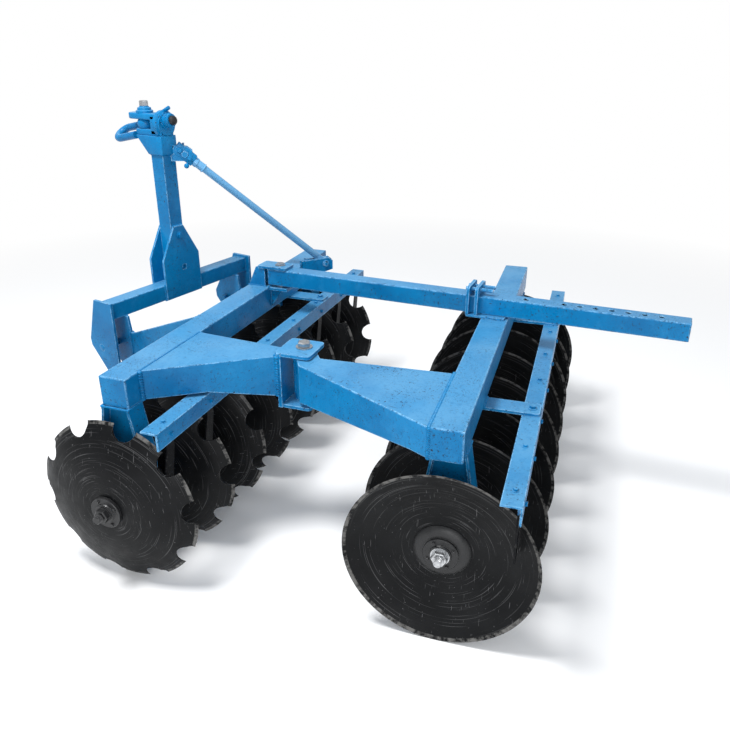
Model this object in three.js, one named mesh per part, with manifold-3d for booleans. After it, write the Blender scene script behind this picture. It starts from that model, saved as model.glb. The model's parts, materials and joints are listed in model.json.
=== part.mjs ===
// A mounted offset disc harrow: a front and a rear disc gang under two box beams that hinge on one
// vertical pin, with a three-point hitch in front and a sliding bar that sets the gang angle.
// Millimetres. +X is the machine's left, +Y points to the rear, +Z is up.
import * as THREE from "three";
import { mergeVertices } from "three/addons/utils/BufferGeometryUtils.js";
import Module from "manifold-3d";

// ---- Clearances ----
const GAP = 0.3; // between two pieces that touch
const PIN_CLEARANCE = 1; // round a pin that turns in its hole
const SLIDE_CLEARANCE = 3; // round the adjusting bar in its guide
const RUBBING_GAP = 0.5; // between flat faces that slide on each other
const RUNNING_CLEARANCE = 5; // between pieces that move past each other

// ---- Gang beams ----
const BEAM_WIDTH = 102;
const BEAM_HEIGHT = 105;
const BEAM_WALL = 6;
const BEAM_TOP = 737; // above the ground
const FRONT_BEAM_LENGTH = 1628;
const REAR_BEAM_LENGTH = 1642;
const FRONT_CENTRE = { x: 113, y: 465 }; // middle of the front beam from the middle of the hitch bar
const REAR_CENTRE = { x: -162, y: 1474 };
const FRONT_ANGLE = THREE.MathUtils.degToRad(12.5); // beam against the hitch bar
const REAR_ANGLE = THREE.MathUtils.degToRad(15.2);

// ---- Disc gangs ----
const DISC_RADIUS = 305;
const DISC_THICKNESS = 6;
const DISC_DISH = 60; // depth of the hollow at the rim
const DISC_FLAT_RADIUS = 70; // flat centre that the spools clamp
const DISC_RINGS = 2; // facet rings between the flat and the rim
const DISC_SIDES = 30;
const DISC_COUNT = 8;
const DISC_PITCH = 238;
const FRONT_GANG_SHIFT = 35; // middle of the rims from the middle of the beam, to the left
const REAR_GANG_SHIFT = 14;
const NOTCH_COUNT = 10;
const NOTCH_RADIUS = 36;
const NOTCH_INSET = 6; // centre of a notch inside the rim
const AXLE_SQUARE = 34;
const SPOOL_RADIUS = 33;
const SPOOL_FLANGE_RADIUS = 58;
const SPOOL_FLANGE_THICKNESS = 12;
const SPOOL_SIDES = 12;
const JOURNAL_RADIUS = 46;
const END_PLATE_RADIUS = 56;
const END_PLATE_THICKNESS = 14;
const END_NUT_RADIUS = 33;
const END_NUT_THICKNESS = 28;
const END_STUD_RADIUS = 15;
const END_STUD_LENGTH = 16;

// ---- Hangers and bearings ----
const HANGER_WIDTH = 76; // along the gang
const HANGER_WALL = 10; // front and rear flanges
const HANGER_WEB = 14; // plate between the flanges
const FRONT_HANGER_SET = 146; // hanger from the disc on its left, centre to centre
const REAR_HANGER_SET = 70;
const HANGER_WAIST = 84; // half width at the shoulder
const HANGER_SHOULDER = 135; // shoulder above the axle
const HOUSING_HALF = 66;
const HOUSING_DROP = 62; // housing below the axle
const BEARING_CLEARANCE = 0.4;
const BEARING_SIDES = 20;

// ---- Scrapers ----
const ANGLE_WIDTH = 60; // both flanges of the angle bar
const ANGLE_WALL = 6;
const FRONT_SCRAPER_Y = 158; // front edge of the bar behind the beam's middle
const REAR_SCRAPER_Y = 173;
const SCRAPER_OVERHANG = 56; // bar past the outermost scraper arm
const SCRAPER_ARM_WIDTH = 40;
const SCRAPER_ARM_THICKNESS = 6;
const SCRAPER_ARM_OFFSET = 78; // near edge of an arm from the disc's centre plane
const SCRAPER_BLADE_DROP = 255; // tip of the blade under the angle bar
const SCRAPER_CLEARANCE = 12; // blade to disc
const STRAP_WIDTH = 76;
const STRAP_THICKNESS = 10;
const STRAP_X = 416; // each side of the beam's middle

// ---- Pivot between the two frames ----
const PIVOT_X = 400; // in the front beam's frame
const PIVOT_Y = 484;
const PIVOT_PIN_RADIUS = 16;
const SLEEVE_RADIUS = 38;
const FORK_PLATE = 12;
const FORK_HALF_X = 64;
const FORK_FRONT = 76; // fork plate in front of the pin
const FORK_REAR = 52;
const FORK_CORNER = 16;
const FORK_BACK_THICKNESS = 15;
const FORK_BACK_FRONT = 68; // front face of the upright back plate in front of the pin
const ARM_TIP_HEIGHT = 150; // depth of both arms at the pivot
const ARM_WALL = 8;
const FRONT_ARM_ROOT = { near: 740, far: 374 }; // in the beam's frame, measured to the left
const FRONT_ARM_TIP_WIDTH = 80;
const REAR_ARM_ROOT = { near: 818, far: 446 };
const REAR_ARM_TIP = { near: 114, far: 40 }; // to the left of the pin
const FORK_FLOOR_GAP = 30; // fork's lower plate under the front arm's tip
const PIVOT_HEAD_RADIUS = 22;
const PIVOT_HEAD_HEIGHT = 22;
const ARM_TOP_DROP = 4; // rear arm's top below the fork's upper plate

// ---- Adjusting bar, its bracket and its clamp ----
const BAR_SIZE = 70;
const BAR_WALL = 5;
const BAR_LENGTH = 1686;
const BAR_LIFT = 9; // underside of the bar above the beams
const BAR_PIN_X = -217; // in the front beam's frame
const BAR_PIN_Y = 92;
const BAR_PIN_RADIUS = 12;
const BAR_NOSE = 45; // bar in front of its pin
const BAR_HOLE_RADIUS = 10;
const BAR_HOLE_PITCH = 57;
const BAR_HOLES = 7;
const BAR_LAST_HOLE = 99; // last hole from the rear end
const BAR_LONE_HOLE = 582; // the one hole nearer the clamp, from the rear end
const BRACKET_PLATE = 8;
const BRACKET_EAR = 12;
const BRACKET_FRONT = -48; // foot of the bracket's gussets in the beam's frame
const EAR_REACH = 46; // ears behind the pin
const EAR_HALF_WIDTH = 40;
const CLAMP_X = -124; // in the rear beam's frame
const CLAMP_RING = 12;
const CLAMP_RIM = 20; // metal round the bar in a ring
const CLAMP_TOP_RIM = 36;
const CLAMP_RING_Y = [-62, -96]; // rear face of each ring from the swivel
const CLAMP_BOLT_RADIUS = 8;
const CLAMP_BOLT_X = [-26, 14];
const CLAMP_BOLT_REAR = -14;

// ---- Three-point hitch ----
const CROSSBAR_SIZE = 70;
const CROSSBAR_WALL = 6;
const CROSSBAR_LENGTH = 840;
const CROSSBAR_TOP = 718;
const CHEEK_THICKNESS = 12;
const CHEEK_SPACING = 70; // clear width between a pair of cheeks
const CHEEK_BOTTOM = 395;
const CHEEK_TOP_HALF = 48;
const CHEEK_REAR = 57;
const LINK_PIN_RADIUS = 14;
const LINK_PIN = { y: -38, z: 515 };
const LINK_PIN_HEAD_RADIUS = 20;
const LINK_PIN_HEAD = 10;
const STRUT_THICKNESS = 16;
const STRUT_REACH = 560; // past the beam's front face, where it is cut off
const STRUT_ROOT = { top: 585, bottom: 432 }; // heights at the cheek

// ---- Mast ----
const MAST_SIZE = 70;
const MAST_WALL = 6;
const MAST_X = 8;
const MAST_TOP = 1280;
const GUSSET_THICKNESS = 10;
const GUSSET_HALF_WIDTH = 107;
const GUSSET_SHOULDER = 828;
const GUSSET_TOP = 966;
const GUSSET_TOP_HALF = 28;
const MAST_BOLT_HEIGHT = 925;
const MAST_BOLT_RADIUS = 11;
const MAST_BOLT_HEAD_RADIUS = 17;
const MAST_BOLT_HEAD = 12;
const GUSSET_HOLE = { x: -12, z: 777, size: 22 };

// ---- Mast head, for the top link ----
const LUG_THICKNESS = 25;
const LUG_HALF_WIDTH = 36;
const LUG_FRONT = -165;
const UPPER_LUG_CORNER = 34;
const LOWER_LUG_CORNER = 6;
const LUG_RISE = 65; // lower lug above the mast's top
const LUG_OPENING = 38; // for the top link, between the lugs
const HEAD_WEB_FRONT = -22;
const HEAD_REAR = 40;
const HEAD_CAP_WALL = 8;
const TOP_BOLT_Y = -84;
const TOP_BOLT_RADIUS = 12;
const TOP_BOLT_HEAD_RADIUS = 18;
const TOP_BOLT_HEAD_HEIGHT = 22;
const TOP_BOLT_STANDS = 26; // head above the upper lug
const BUSH_RADIUS = 26;
const BUSH_REACH = 36; // bush behind the head
const EYE_BAR_RADIUS = 12;
const EYE_HALF_WIDTH = 27;
const EYE_LEG = 70;
const EYE_DROOP = THREE.MathUtils.degToRad(15);

// ---- Brace from the mast head to the front beam ----
const BRACE_RADIUS = 14;
const BRACE_TONGUE = 16; // thickness of the flat ends
const BRACE_EYE_RADIUS = 24;
const BRACE_UPPER = { x: -56, y: 62 };
const BRACE_DROP = 12; // upper bolt below the mast's top
const BRACE_LOWER = { x: -590, y: 140, z: 745 }; // in the front beam's frame
const BRACE_LUG_THICKNESS = 10;
const BRACE_LUG_REACH = 34; // lug past its bolt
const BRACE_BOLT_RADIUS = 9;
const BRACE_BOLT_SIDES = 10;
const BRACE_BOLT_HEAD = 15;
const BRACE_SHOULDER = 50; // round rod's end from the lower bolt, at least
const BRACE_LUG_CREST = 24; // top of the lower lugs above their bolt, beside the rod
const BRACE_SOCKET_RADIUS = 21;
const BRACE_SOCKET_LENGTH = 56;

// ---- Derived levels ----
const AXLE_HEIGHT = DISC_RADIUS * Math.cos(Math.PI / DISC_SIDES); // a facet lies on the ground
const BEAM_BOTTOM = BEAM_TOP - BEAM_HEIGHT;
const BEAM_HALF = BEAM_WIDTH / 2;
const BAR_BOTTOM = BEAM_TOP + BAR_LIFT;
const BAR_TOP = BAR_BOTTOM + BAR_SIZE;
const BAR_HALF = BAR_SIZE / 2;
const LOWER_LUG_BOTTOM = MAST_TOP + LUG_RISE;
const UPPER_LUG_BOTTOM = LOWER_LUG_BOTTOM + LUG_THICKNESS + LUG_OPENING;
const ARM_TIP_BOTTOM = BEAM_TOP - ARM_TIP_HEIGHT;
const FORK_FLOOR = ARM_TIP_BOTTOM - FORK_FLOOR_GAP; // upper face of the fork's lower plate
const STRAP_TOP = BEAM_BOTTOM - GAP;
const ANGLE_TOP = STRAP_TOP - STRAP_THICKNESS - GAP;
const CROSSBAR_HALF = CROSSBAR_SIZE / 2;
const CROSSBAR_BOTTOM = CROSSBAR_TOP - CROSSBAR_SIZE;

// ---- Finishes ----
const finishes = {
  paint: { color: 0x2a7fc4, roughness: 0.45, metalness: 0.1 },
  zinc: { color: 0xb4b6b8, roughness: 0.35, metalness: 0.9 },
  disc: { color: 0x1f2224, roughness: 0.5, metalness: 0.5 },
  iron: { color: 0x26282a, roughness: 0.6, metalness: 0.5 },
};

// ---- Solids: three.js shapes, joined and cut by manifold-3d ----
const wasm = await Module();
wasm.setup();

function toSolid(geometry) {
  const bare = geometry.clone();
  bare.deleteAttribute("normal");
  bare.deleteAttribute("uv");
  const merged = mergeVertices(bare, 1e-3);
  return new wasm.Manifold(
    new wasm.Mesh({
      numProp: 3,
      vertProperties: merged.attributes.position.array,
      triVerts: new Uint32Array(merged.index.array),
    }),
  );
}

function toGeometry(solid) {
  const { vertProperties, triVerts } = solid.getMesh();
  const geometry = new THREE.BufferGeometry();
  geometry.setAttribute("position", new THREE.BufferAttribute(vertProperties, 3));
  geometry.setIndex(new THREE.BufferAttribute(triVerts, 1));
  geometry.computeVertexNormals();
  return geometry;
}

const join = (...shapes) => toGeometry(shapes.map(toSolid).reduce((all, next) => all.add(next)));
const cut = (shape, ...tools) =>
  toGeometry(tools.map(toSolid).reduce((left, tool) => left.subtract(tool), toSolid(shape)));
const trim = (shape, limit) => toGeometry(toSolid(shape).intersect(toSolid(limit)));

function block([x0, x1], [y0, y1], [z0, z1]) {
  const box = new THREE.BoxGeometry(x1 - x0, y1 - y0, z1 - z0);
  return box.translate((x0 + x1) / 2, (y0 + y1) / 2, (z0 + z1) / 2);
}

// The three directions in which a flat outline is given its thickness.
const OUTLINE_FRAMES = {
  x: new THREE.Matrix4().makeBasis(
    new THREE.Vector3(0, 1, 0),
    new THREE.Vector3(0, 0, 1),
    new THREE.Vector3(1, 0, 0),
  ),
  y: new THREE.Matrix4().makeBasis(
    new THREE.Vector3(1, 0, 0),
    new THREE.Vector3(0, 0, 1),
    new THREE.Vector3(0, -1, 0),
  ),
  z: new THREE.Matrix4(),
};

// An outline given as [u, v] pairs or as a THREE.Shape: (y, z) for x, (x, z) for y, (x, y) for z.
function plate(outline, axis, from, to) {
  const shape = Array.isArray(outline)
    ? new THREE.Shape(outline.map(([u, v]) => new THREE.Vector2(u, v)))
    : outline;
  const solid = new THREE.ExtrudeGeometry(shape, {
    depth: to - from,
    bevelEnabled: false,
    curveSegments: 5,
  });
  solid.applyMatrix4(OUTLINE_FRAMES[axis]);
  if (axis === "x") return solid.translate(from, 0, 0);
  return axis === "y" ? solid.translate(0, to, 0) : solid.translate(0, 0, from);
}

function roundedRectangle(x0, x1, y0, y1, radius) {
  const shape = new THREE.Shape();
  shape.moveTo(x0 + radius, y0);
  shape.lineTo(x1 - radius, y0);
  shape.absarc(x1 - radius, y0 + radius, radius, -Math.PI / 2, 0);
  shape.lineTo(x1, y1 - radius);
  shape.absarc(x1 - radius, y1 - radius, radius, 0, Math.PI / 2);
  shape.lineTo(x0 + radius, y1);
  shape.absarc(x0 + radius, y1 - radius, radius, Math.PI / 2, Math.PI);
  shape.lineTo(x0, y0 + radius);
  shape.absarc(x0 + radius, y0 + radius, radius, Math.PI, Math.PI * 1.5);
  return shape;
}

// A cylinder, or a prism with few sides, between two points.
function rod(from, to, radius, sides = 16, turn = 0) {
  const start = new THREE.Vector3(...from);
  const along = new THREE.Vector3(...to).sub(start);
  const cylinder = new THREE.CylinderGeometry(radius, radius, along.length(), sides);
  cylinder.rotateY(turn).translate(0, along.length() / 2, 0);
  const upright = new THREE.Vector3(0, 1, 0);
  cylinder.applyQuaternion(new THREE.Quaternion().setFromUnitVectors(upright, along.normalize()));
  return cylinder.translate(...from);
}

// A turned shape round the X axis, from [x, radius] pairs that start and end on the axis.
function turned(profile, sides, turn = 0) {
  const points = profile.map(([x, radius]) => new THREE.Vector2(radius, x));
  return new THREE.LatheGeometry(points, sides, turn).rotateZ(-Math.PI / 2);
}

function hollowBar(length, width, height, wall, capped) {
  const outer = block([-length / 2, length / 2], [-width / 2, width / 2], [-height, 0]);
  const end = capped ? length / 2 - wall : length / 2 + wall;
  const inner = block(
    [-length / 2 - wall, end],
    [-width / 2 + wall, width / 2 - wall],
    [-height + wall, -wall],
  );
  return cut(outer, inner);
}

// ---- Placing ----
function piece(parent, name, geometry, finish, at = [0, 0, 0], turn = 0) {
  const mesh = new THREE.Mesh(geometry, new THREE.MeshStandardMaterial(finishes[finish]));
  mesh.name = name;
  mesh.position.set(...at);
  mesh.rotation.z = turn;
  parent.add(mesh);
  return mesh;
}

const harrow = new THREE.Group();
const frontLine = new THREE.Group();
frontLine.position.set(FRONT_CENTRE.x, FRONT_CENTRE.y, 0);
frontLine.rotation.z = FRONT_ANGLE;
const rearLine = new THREE.Group();
rearLine.position.set(REAR_CENTRE.x, REAR_CENTRE.y, 0);
rearLine.rotation.z = REAR_ANGLE;
harrow.add(frontLine, rearLine);
harrow.updateMatrixWorld(true);

// A point of one group's frame in another group's frame.
function carried(point, from, to) {
  return to.worldToLocal(from.localToWorld(new THREE.Vector3(...point)));
}

const pivotInRear = carried([PIVOT_X, PIVOT_Y, 0], frontLine, rearLine);

// ---- Beams ----
function addBeam(parent, name, length) {
  const tube = hollowBar(length, BEAM_WIDTH, BEAM_HEIGHT, BEAM_WALL, true);
  piece(parent, name, tube, "paint", [0, 0, BEAM_TOP]);
}
addBeam(frontLine, "front_beam", FRONT_BEAM_LENGTH);
addBeam(rearLine, "rear_beam", REAR_BEAM_LENGTH);

// ---- Tapered arms: flat on top, deeper towards the pivot, open at both ends ----
function taperedArm(plan, { tipY, levelY, rootY, top }) {
  const xs = plan.map(([x]) => x);
  const body = plate(plan, "z", ARM_TIP_BOTTOM, top);
  const side = [
    [rootY, BEAM_BOTTOM],
    [rootY, top],
    [tipY, top],
    [tipY, ARM_TIP_BOTTOM],
    [levelY, BEAM_BOTTOM],
  ];
  return trim(body, plate(side, "x", Math.min(...xs) - 1, Math.max(...xs) + 1));
}

function shrunkPlan(plan, wall, slack) {
  const [nearRoot, nearTip, farTip, farRoot] = plan;
  const shift = Math.sign(nearTip[1] - nearRoot[1]) * slack;
  return [
    [nearRoot[0] - wall * 1.3, nearRoot[1] - shift],
    [nearTip[0] - wall * 1.3, nearTip[1] + shift],
    [farTip[0] + wall, farTip[1] + shift],
    [farRoot[0] + wall, farRoot[1] - shift],
  ];
}

const frontArmRoot = BEAM_HALF + GAP;
const frontArmTip = PIVOT_Y - FORK_BACK_FRONT - GAP;
const frontArmPlan = [
  [FRONT_ARM_ROOT.near, frontArmRoot],
  [PIVOT_X + FRONT_ARM_TIP_WIDTH, frontArmTip],
  [PIVOT_X, frontArmTip],
  [FRONT_ARM_ROOT.far, frontArmRoot],
];
const frontArmShell = taperedArm(frontArmPlan, {
  tipY: frontArmTip,
  levelY: FRONT_SCRAPER_Y + ANGLE_WIDTH + RUNNING_CLEARANCE,
  rootY: frontArmRoot,
  top: BEAM_TOP,
});
const frontArmCore = plate(
  shrunkPlan(frontArmPlan, ARM_WALL, 2),
  "z",
  BEAM_BOTTOM + ARM_WALL,
  BEAM_TOP - ARM_WALL,
);
piece(frontLine, "front_arm", cut(frontArmShell, frontArmCore), "paint");

const rearArmRoot = -BEAM_HALF - GAP;
const rearArmTip = pivotInRear.y + 24;
const rearArmPlan = [
  [REAR_ARM_ROOT.near, rearArmRoot],
  [pivotInRear.x + REAR_ARM_TIP.near, rearArmTip],
  [pivotInRear.x + 36, pivotInRear.y - 22],
  [pivotInRear.x - 4, pivotInRear.y + 46],
  [pivotInRear.x + REAR_ARM_TIP.far, pivotInRear.y + 74],
  [REAR_ARM_ROOT.far, rearArmRoot],
];
const rearArmTop = BEAM_TOP - ARM_TOP_DROP;
const rearArmShell = taperedArm(rearArmPlan, {
  tipY: pivotInRear.y - 24,
  levelY: rearArmRoot - 60,
  rootY: rearArmRoot,
  top: rearArmTop,
});
const rearArmCore = plate(
  [
    [REAR_ARM_ROOT.near - 14, rearArmRoot + 2],
    [pivotInRear.x + REAR_ARM_TIP.near - ARM_WALL, rearArmTip + 34],
    [pivotInRear.x + REAR_ARM_TIP.far + 10, rearArmTip + 66],
    [REAR_ARM_ROOT.far + 10, rearArmRoot + 2],
  ],
  "z",
  BEAM_BOTTOM + ARM_WALL,
  rearArmTop - ARM_WALL,
);
const sleeveSpace = rod(
  [pivotInRear.x, pivotInRear.y, FORK_FLOOR],
  [pivotInRear.x, pivotInRear.y, BEAM_TOP],
  SLEEVE_RADIUS + GAP,
  24,
);
piece(rearLine, "rear_arm", cut(rearArmShell, rearArmCore, sleeveSpace), "paint");

// ---- Pivot: a fork on the front arm, a sleeve on the rear arm and one upright pin ----
const forkOutline = roundedRectangle(-FORK_HALF_X, FORK_HALF_X + 14, -FORK_FRONT, FORK_REAR, FORK_CORNER);
const forkTopZ = BEAM_TOP + GAP + FORK_PLATE;
const forkBack = block(
  [-FORK_HALF_X, FORK_HALF_X + 18],
  [-FORK_BACK_FRONT, -FORK_BACK_FRONT + FORK_BACK_THICKNESS],
  [FORK_FLOOR - FORK_PLATE, forkTopZ - 1],
);
const forkPinHole = rod([0, 0, FORK_FLOOR - 50], [0, 0, forkTopZ + 50], PIVOT_PIN_RADIUS + GAP, 24);
const fork = cut(
  join(
    plate(forkOutline, "z", BEAM_TOP + GAP, forkTopZ),
    plate(forkOutline, "z", FORK_FLOOR - FORK_PLATE, FORK_FLOOR),
    forkBack,
  ),
  forkPinHole,
);
piece(frontLine, "pivot_fork", fork, "paint", [PIVOT_X, PIVOT_Y, 0]);

const sleeveFrom = FORK_FLOOR + PIN_CLEARANCE;
const sleeve = cut(
  rod([0, 0, sleeveFrom], [0, 0, rearArmTop], SLEEVE_RADIUS, 24),
  rod([0, 0, sleeveFrom - 9], [0, 0, rearArmTop + 9], PIVOT_PIN_RADIUS + PIN_CLEARANCE, 24),
);
piece(rearLine, "pivot_sleeve", sleeve, "paint", [pivotInRear.x, pivotInRear.y, 0]);

const pivotPin = join(
  rod([0, 0, FORK_FLOOR - FORK_PLATE - 26], [0, 0, forkTopZ + GAP + 1], PIVOT_PIN_RADIUS, 24),
  rod([0, 0, forkTopZ + GAP], [0, 0, forkTopZ + PIVOT_HEAD_HEIGHT], PIVOT_HEAD_RADIUS, 6),
  rod(
    [0, 0, FORK_FLOOR - FORK_PLATE - 22],
    [0, 0, FORK_FLOOR - FORK_PLATE - GAP],
    PIVOT_HEAD_RADIUS,
    6,
  ),
);
piece(frontLine, "pivot_pin", pivotPin, "zinc", [PIVOT_X, PIVOT_Y, 0]);

// ---- Discs ----
const discDepth = (radius) =>
  DISC_DISH * (Math.max(radius - DISC_FLAT_RADIUS, 0) / (DISC_RADIUS - DISC_FLAT_RADIUS)) ** 2;

// A disc whose hollow faces +X; its flat centre starts at x = 0.
function discGeometry(notched) {
  const radii = [0];
  for (let i = 0; i <= DISC_RINGS; i++) {
    radii.push(DISC_FLAT_RADIUS + ((DISC_RADIUS - DISC_FLAT_RADIUS) * i) / DISC_RINGS);
  }
  const back = radii.map((radius) => [discDepth(radius), radius]);
  const face = [...back].reverse().map(([x, radius]) => [x + DISC_THICKNESS, radius]);
  const tools = [
    block(
      [-DISC_DISH, DISC_DISH],
      [-AXLE_SQUARE / 2 - GAP, AXLE_SQUARE / 2 + GAP],
      [-AXLE_SQUARE / 2 - GAP, AXLE_SQUARE / 2 + GAP],
    ),
  ];
  for (let i = 0; notched && i < NOTCH_COUNT; i++) {
    const angle = ((i + 0.5) * 2 * Math.PI) / NOTCH_COUNT - Math.PI / 2;
    const y = (DISC_RADIUS - NOTCH_INSET) * Math.cos(angle);
    const z = (DISC_RADIUS - NOTCH_INSET) * Math.sin(angle);
    tools.push(rod([-9, y, z], [DISC_DISH + 99, y, z], NOTCH_RADIUS, 10));
  }
  return cut(turned([...back, ...face], DISC_SIDES, Math.PI / DISC_SIDES), ...tools);
}

// Centre plane of disc number i, counted from the left, in its beam's frame; facing is +1 where
// the hollow faces the left side.
function discCentre(i, shift, facing) {
  const rim = shift + ((DISC_COUNT - 1) / 2 - i) * DISC_PITCH;
  return rim - facing * DISC_DISH;
}

// ---- A gang's axle with its spools, end plates and nuts, about the X axis ----
function spool(from, to, bodyRadius) {
  return turned(
    [
      [from, 0],
      [from, SPOOL_FLANGE_RADIUS],
      [from + SPOOL_FLANGE_THICKNESS, SPOOL_FLANGE_RADIUS],
      [from + SPOOL_FLANGE_THICKNESS * 2, bodyRadius],
      [to - SPOOL_FLANGE_THICKNESS * 2, bodyRadius],
      [to - SPOOL_FLANGE_THICKNESS, SPOOL_FLANGE_RADIUS],
      [to, SPOOL_FLANGE_RADIUS],
      [to, 0],
    ],
    bodyRadius === JOURNAL_RADIUS ? BEARING_SIDES : SPOOL_SIDES,
  );
}

function gangEnd(x, outward) {
  const nutFrom = x + outward * END_PLATE_THICKNESS;
  const nutTo = nutFrom + outward * END_NUT_THICKNESS;
  return join(
    rod([x, 0, 0], [nutFrom, 0, 0], END_PLATE_RADIUS, SPOOL_SIDES),
    rod([nutFrom - outward, 0, 0], [nutTo, 0, 0], END_NUT_RADIUS, 6),
    rod([nutTo - outward, 0, 0], [nutTo + outward * END_STUD_LENGTH, 0, 0], END_STUD_RADIUS, 12),
  );
}

function axleGeometry(shift, facing) {
  // A disc stands between x = low and x = high on the axle.
  const spans = [];
  for (let i = 0; i < DISC_COUNT; i++) {
    const centre = discCentre(i, shift, facing);
    const edge = centre + facing * DISC_THICKNESS;
    spans.push([Math.min(centre, edge), Math.max(centre, edge)]);
  }
  const [left, right] = [spans[0][1] + GAP, spans[DISC_COUNT - 1][0] - GAP];
  const half = AXLE_SQUARE / 2;
  const parts = [
    block([right - 1, left + 1], [-half, half], [-half, half]),
    gangEnd(left, 1),
    gangEnd(right, -1),
  ];
  for (let i = 0; i < DISC_COUNT - 1; i++) {
    const carriesBearing = i === 0 || i === DISC_COUNT - 2;
    const radius = carriesBearing ? JOURNAL_RADIUS : SPOOL_RADIUS;
    parts.push(spool(spans[i + 1][1] + GAP, spans[i][0] - GAP, radius));
  }
  return join(...parts);
}

// ---- Hangers: box legs from the beam down to a bearing housing ----
function hangerGeometry() {
  const half = HANGER_WIDTH / 2;
  const top = BEAM_BOTTOM - GAP - AXLE_HEIGHT;
  const leg = (inset) => [
    [-BEAM_HALF + inset, top + inset],
    [-HANGER_WAIST + inset, HANGER_SHOULDER],
    [-HOUSING_HALF + inset, 0],
    [HOUSING_HALF - inset, 0],
    [HANGER_WAIST - inset, HANGER_SHOULDER],
    [BEAM_HALF - inset, top + inset],
  ];
  const foot = roundedRectangle(-HOUSING_HALF, HOUSING_HALF, -HOUSING_DROP, HOUSING_DROP, 24);
  const body = join(plate(leg(0), "x", -half, half), plate(foot, "x", -half, half));
  const pockets = [-1, 1].map((side) => {
    const faces = [(side * HANGER_WEB) / 2, side * (half + 1)].sort((a, b) => a - b);
    return trim(
      plate(leg(HANGER_WALL), "x", ...faces),
      block([-half - 2, half + 2], [-HANGER_WAIST, HANGER_WAIST], [HOUSING_DROP + HANGER_WALL, top]),
    );
  });
  const boreRadius = (JOURNAL_RADIUS + BEARING_CLEARANCE) / Math.cos(Math.PI / BEARING_SIDES);
  const bore = rod([-half - 9, 0, 0], [half + 9, 0, 0], boreRadius, BEARING_SIDES);
  return cut(body, ...pockets, bore);
}

// ---- Scraper bar: an angle bar with one arm and blade for each disc ----
function scraperGeometry(shift, facing, barY) {
  const armY = barY + ANGLE_WIDTH - ANGLE_WALL - SCRAPER_ARM_THICKNESS - 4;
  const bladeBottom = ANGLE_TOP - SCRAPER_BLADE_DROP;
  const bladeEdge = (z) => {
    const radius = Math.hypot(armY, z - AXLE_HEIGHT);
    return discDepth(Math.min(radius, DISC_RADIUS)) + DISC_THICKNESS + SCRAPER_CLEARANCE;
  };
  const arms = [];
  const reach = [];
  for (let i = 0; i < DISC_COUNT; i++) {
    const centre = discCentre(i, shift, facing);
    const near = SCRAPER_ARM_OFFSET;
    const far = near + SCRAPER_ARM_WIDTH;
    const rimZ = AXLE_HEIGHT + Math.sqrt(DISC_RADIUS ** 2 - armY ** 2);
    const middleZ = (bladeBottom + rimZ) / 2;
    const outline = [
      [bladeEdge(bladeBottom), bladeBottom],
      [bladeEdge(bladeBottom) + SCRAPER_ARM_WIDTH, bladeBottom],
      [far, rimZ],
      [far, ANGLE_TOP - 1],
      [near, ANGLE_TOP - 1],
      [near, rimZ],
      [bladeEdge(middleZ), middleZ],
    ].map(([x, z]) => [centre + facing * x, z]);
    arms.push(plate(outline, "y", armY, armY + SCRAPER_ARM_THICKNESS));
    reach.push(centre + facing * near, centre + facing * far);
  }
  const from = Math.min(...reach) - SCRAPER_OVERHANG;
  const to = Math.max(...reach) + SCRAPER_OVERHANG;
  const rearEdge = barY + ANGLE_WIDTH;
  return join(
    block([from, to], [barY, rearEdge], [ANGLE_TOP - ANGLE_WALL, ANGLE_TOP]),
    block([from, to], [rearEdge - ANGLE_WALL, rearEdge], [ANGLE_TOP - ANGLE_WIDTH, ANGLE_TOP]),
    ...arms,
  );
}

function strapGeometry(barY) {
  const outline = roundedRectangle(
    -STRAP_WIDTH / 2,
    STRAP_WIDTH / 2,
    -BEAM_HALF + 8,
    barY + ANGLE_WIDTH - 4,
    14,
  );
  return plate(outline, "z", STRAP_TOP - STRAP_THICKNESS, STRAP_TOP);
}

function addGang(line, name, { shift, facing, notched, barY, hangerSet }) {
  piece(line, `${name}_gang_axle`, axleGeometry(shift, facing), "iron", [0, 0, AXLE_HEIGHT]);
  const disc = discGeometry(notched);
  for (let i = 0; i < DISC_COUNT; i++) {
    const at = [discCentre(i, shift, facing), 0, AXLE_HEIGHT];
    piece(line, `${name}_disc_${i + 1}`, disc.clone(), "disc", at, facing > 0 ? 0 : Math.PI);
  }
  const hanger = hangerGeometry();
  const bays = { left: 0, right: DISC_COUNT - 2 };
  for (const [side, bay] of Object.entries(bays)) {
    const at = [discCentre(bay, shift, facing) - hangerSet, 0, AXLE_HEIGHT];
    piece(line, `${name}_hanger_${side}`, hanger.clone(), "paint", at);
  }
  piece(line, `${name}_scraper_bar`, scraperGeometry(shift, facing, barY), "paint");
  for (const [side, x] of [["left", STRAP_X], ["right", -STRAP_X]]) {
    piece(line, `${name}_scraper_strap_${side}`, strapGeometry(barY), "paint", [x, 0, 0]);
  }
}
addGang(frontLine, "front", {
  shift: FRONT_GANG_SHIFT,
  facing: -1,
  notched: true,
  barY: FRONT_SCRAPER_Y,
  hangerSet: FRONT_HANGER_SET,
});
addGang(rearLine, "rear", {
  shift: REAR_GANG_SHIFT,
  facing: 1,
  notched: false,
  barY: REAR_SCRAPER_Y,
  hangerSet: REAR_HANGER_SET,
});

// ---- Adjusting bar: pinned to a bracket on the front beam, sliding in a swivelling clamp ----
const barPin = carried([BAR_PIN_X, BAR_PIN_Y, 0], frontLine, harrow);
const clampAt = carried([CLAMP_X, 0, 0], rearLine, harrow);
const barTurn = Math.atan2(-(clampAt.x - barPin.x), clampAt.y - barPin.y);

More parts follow.
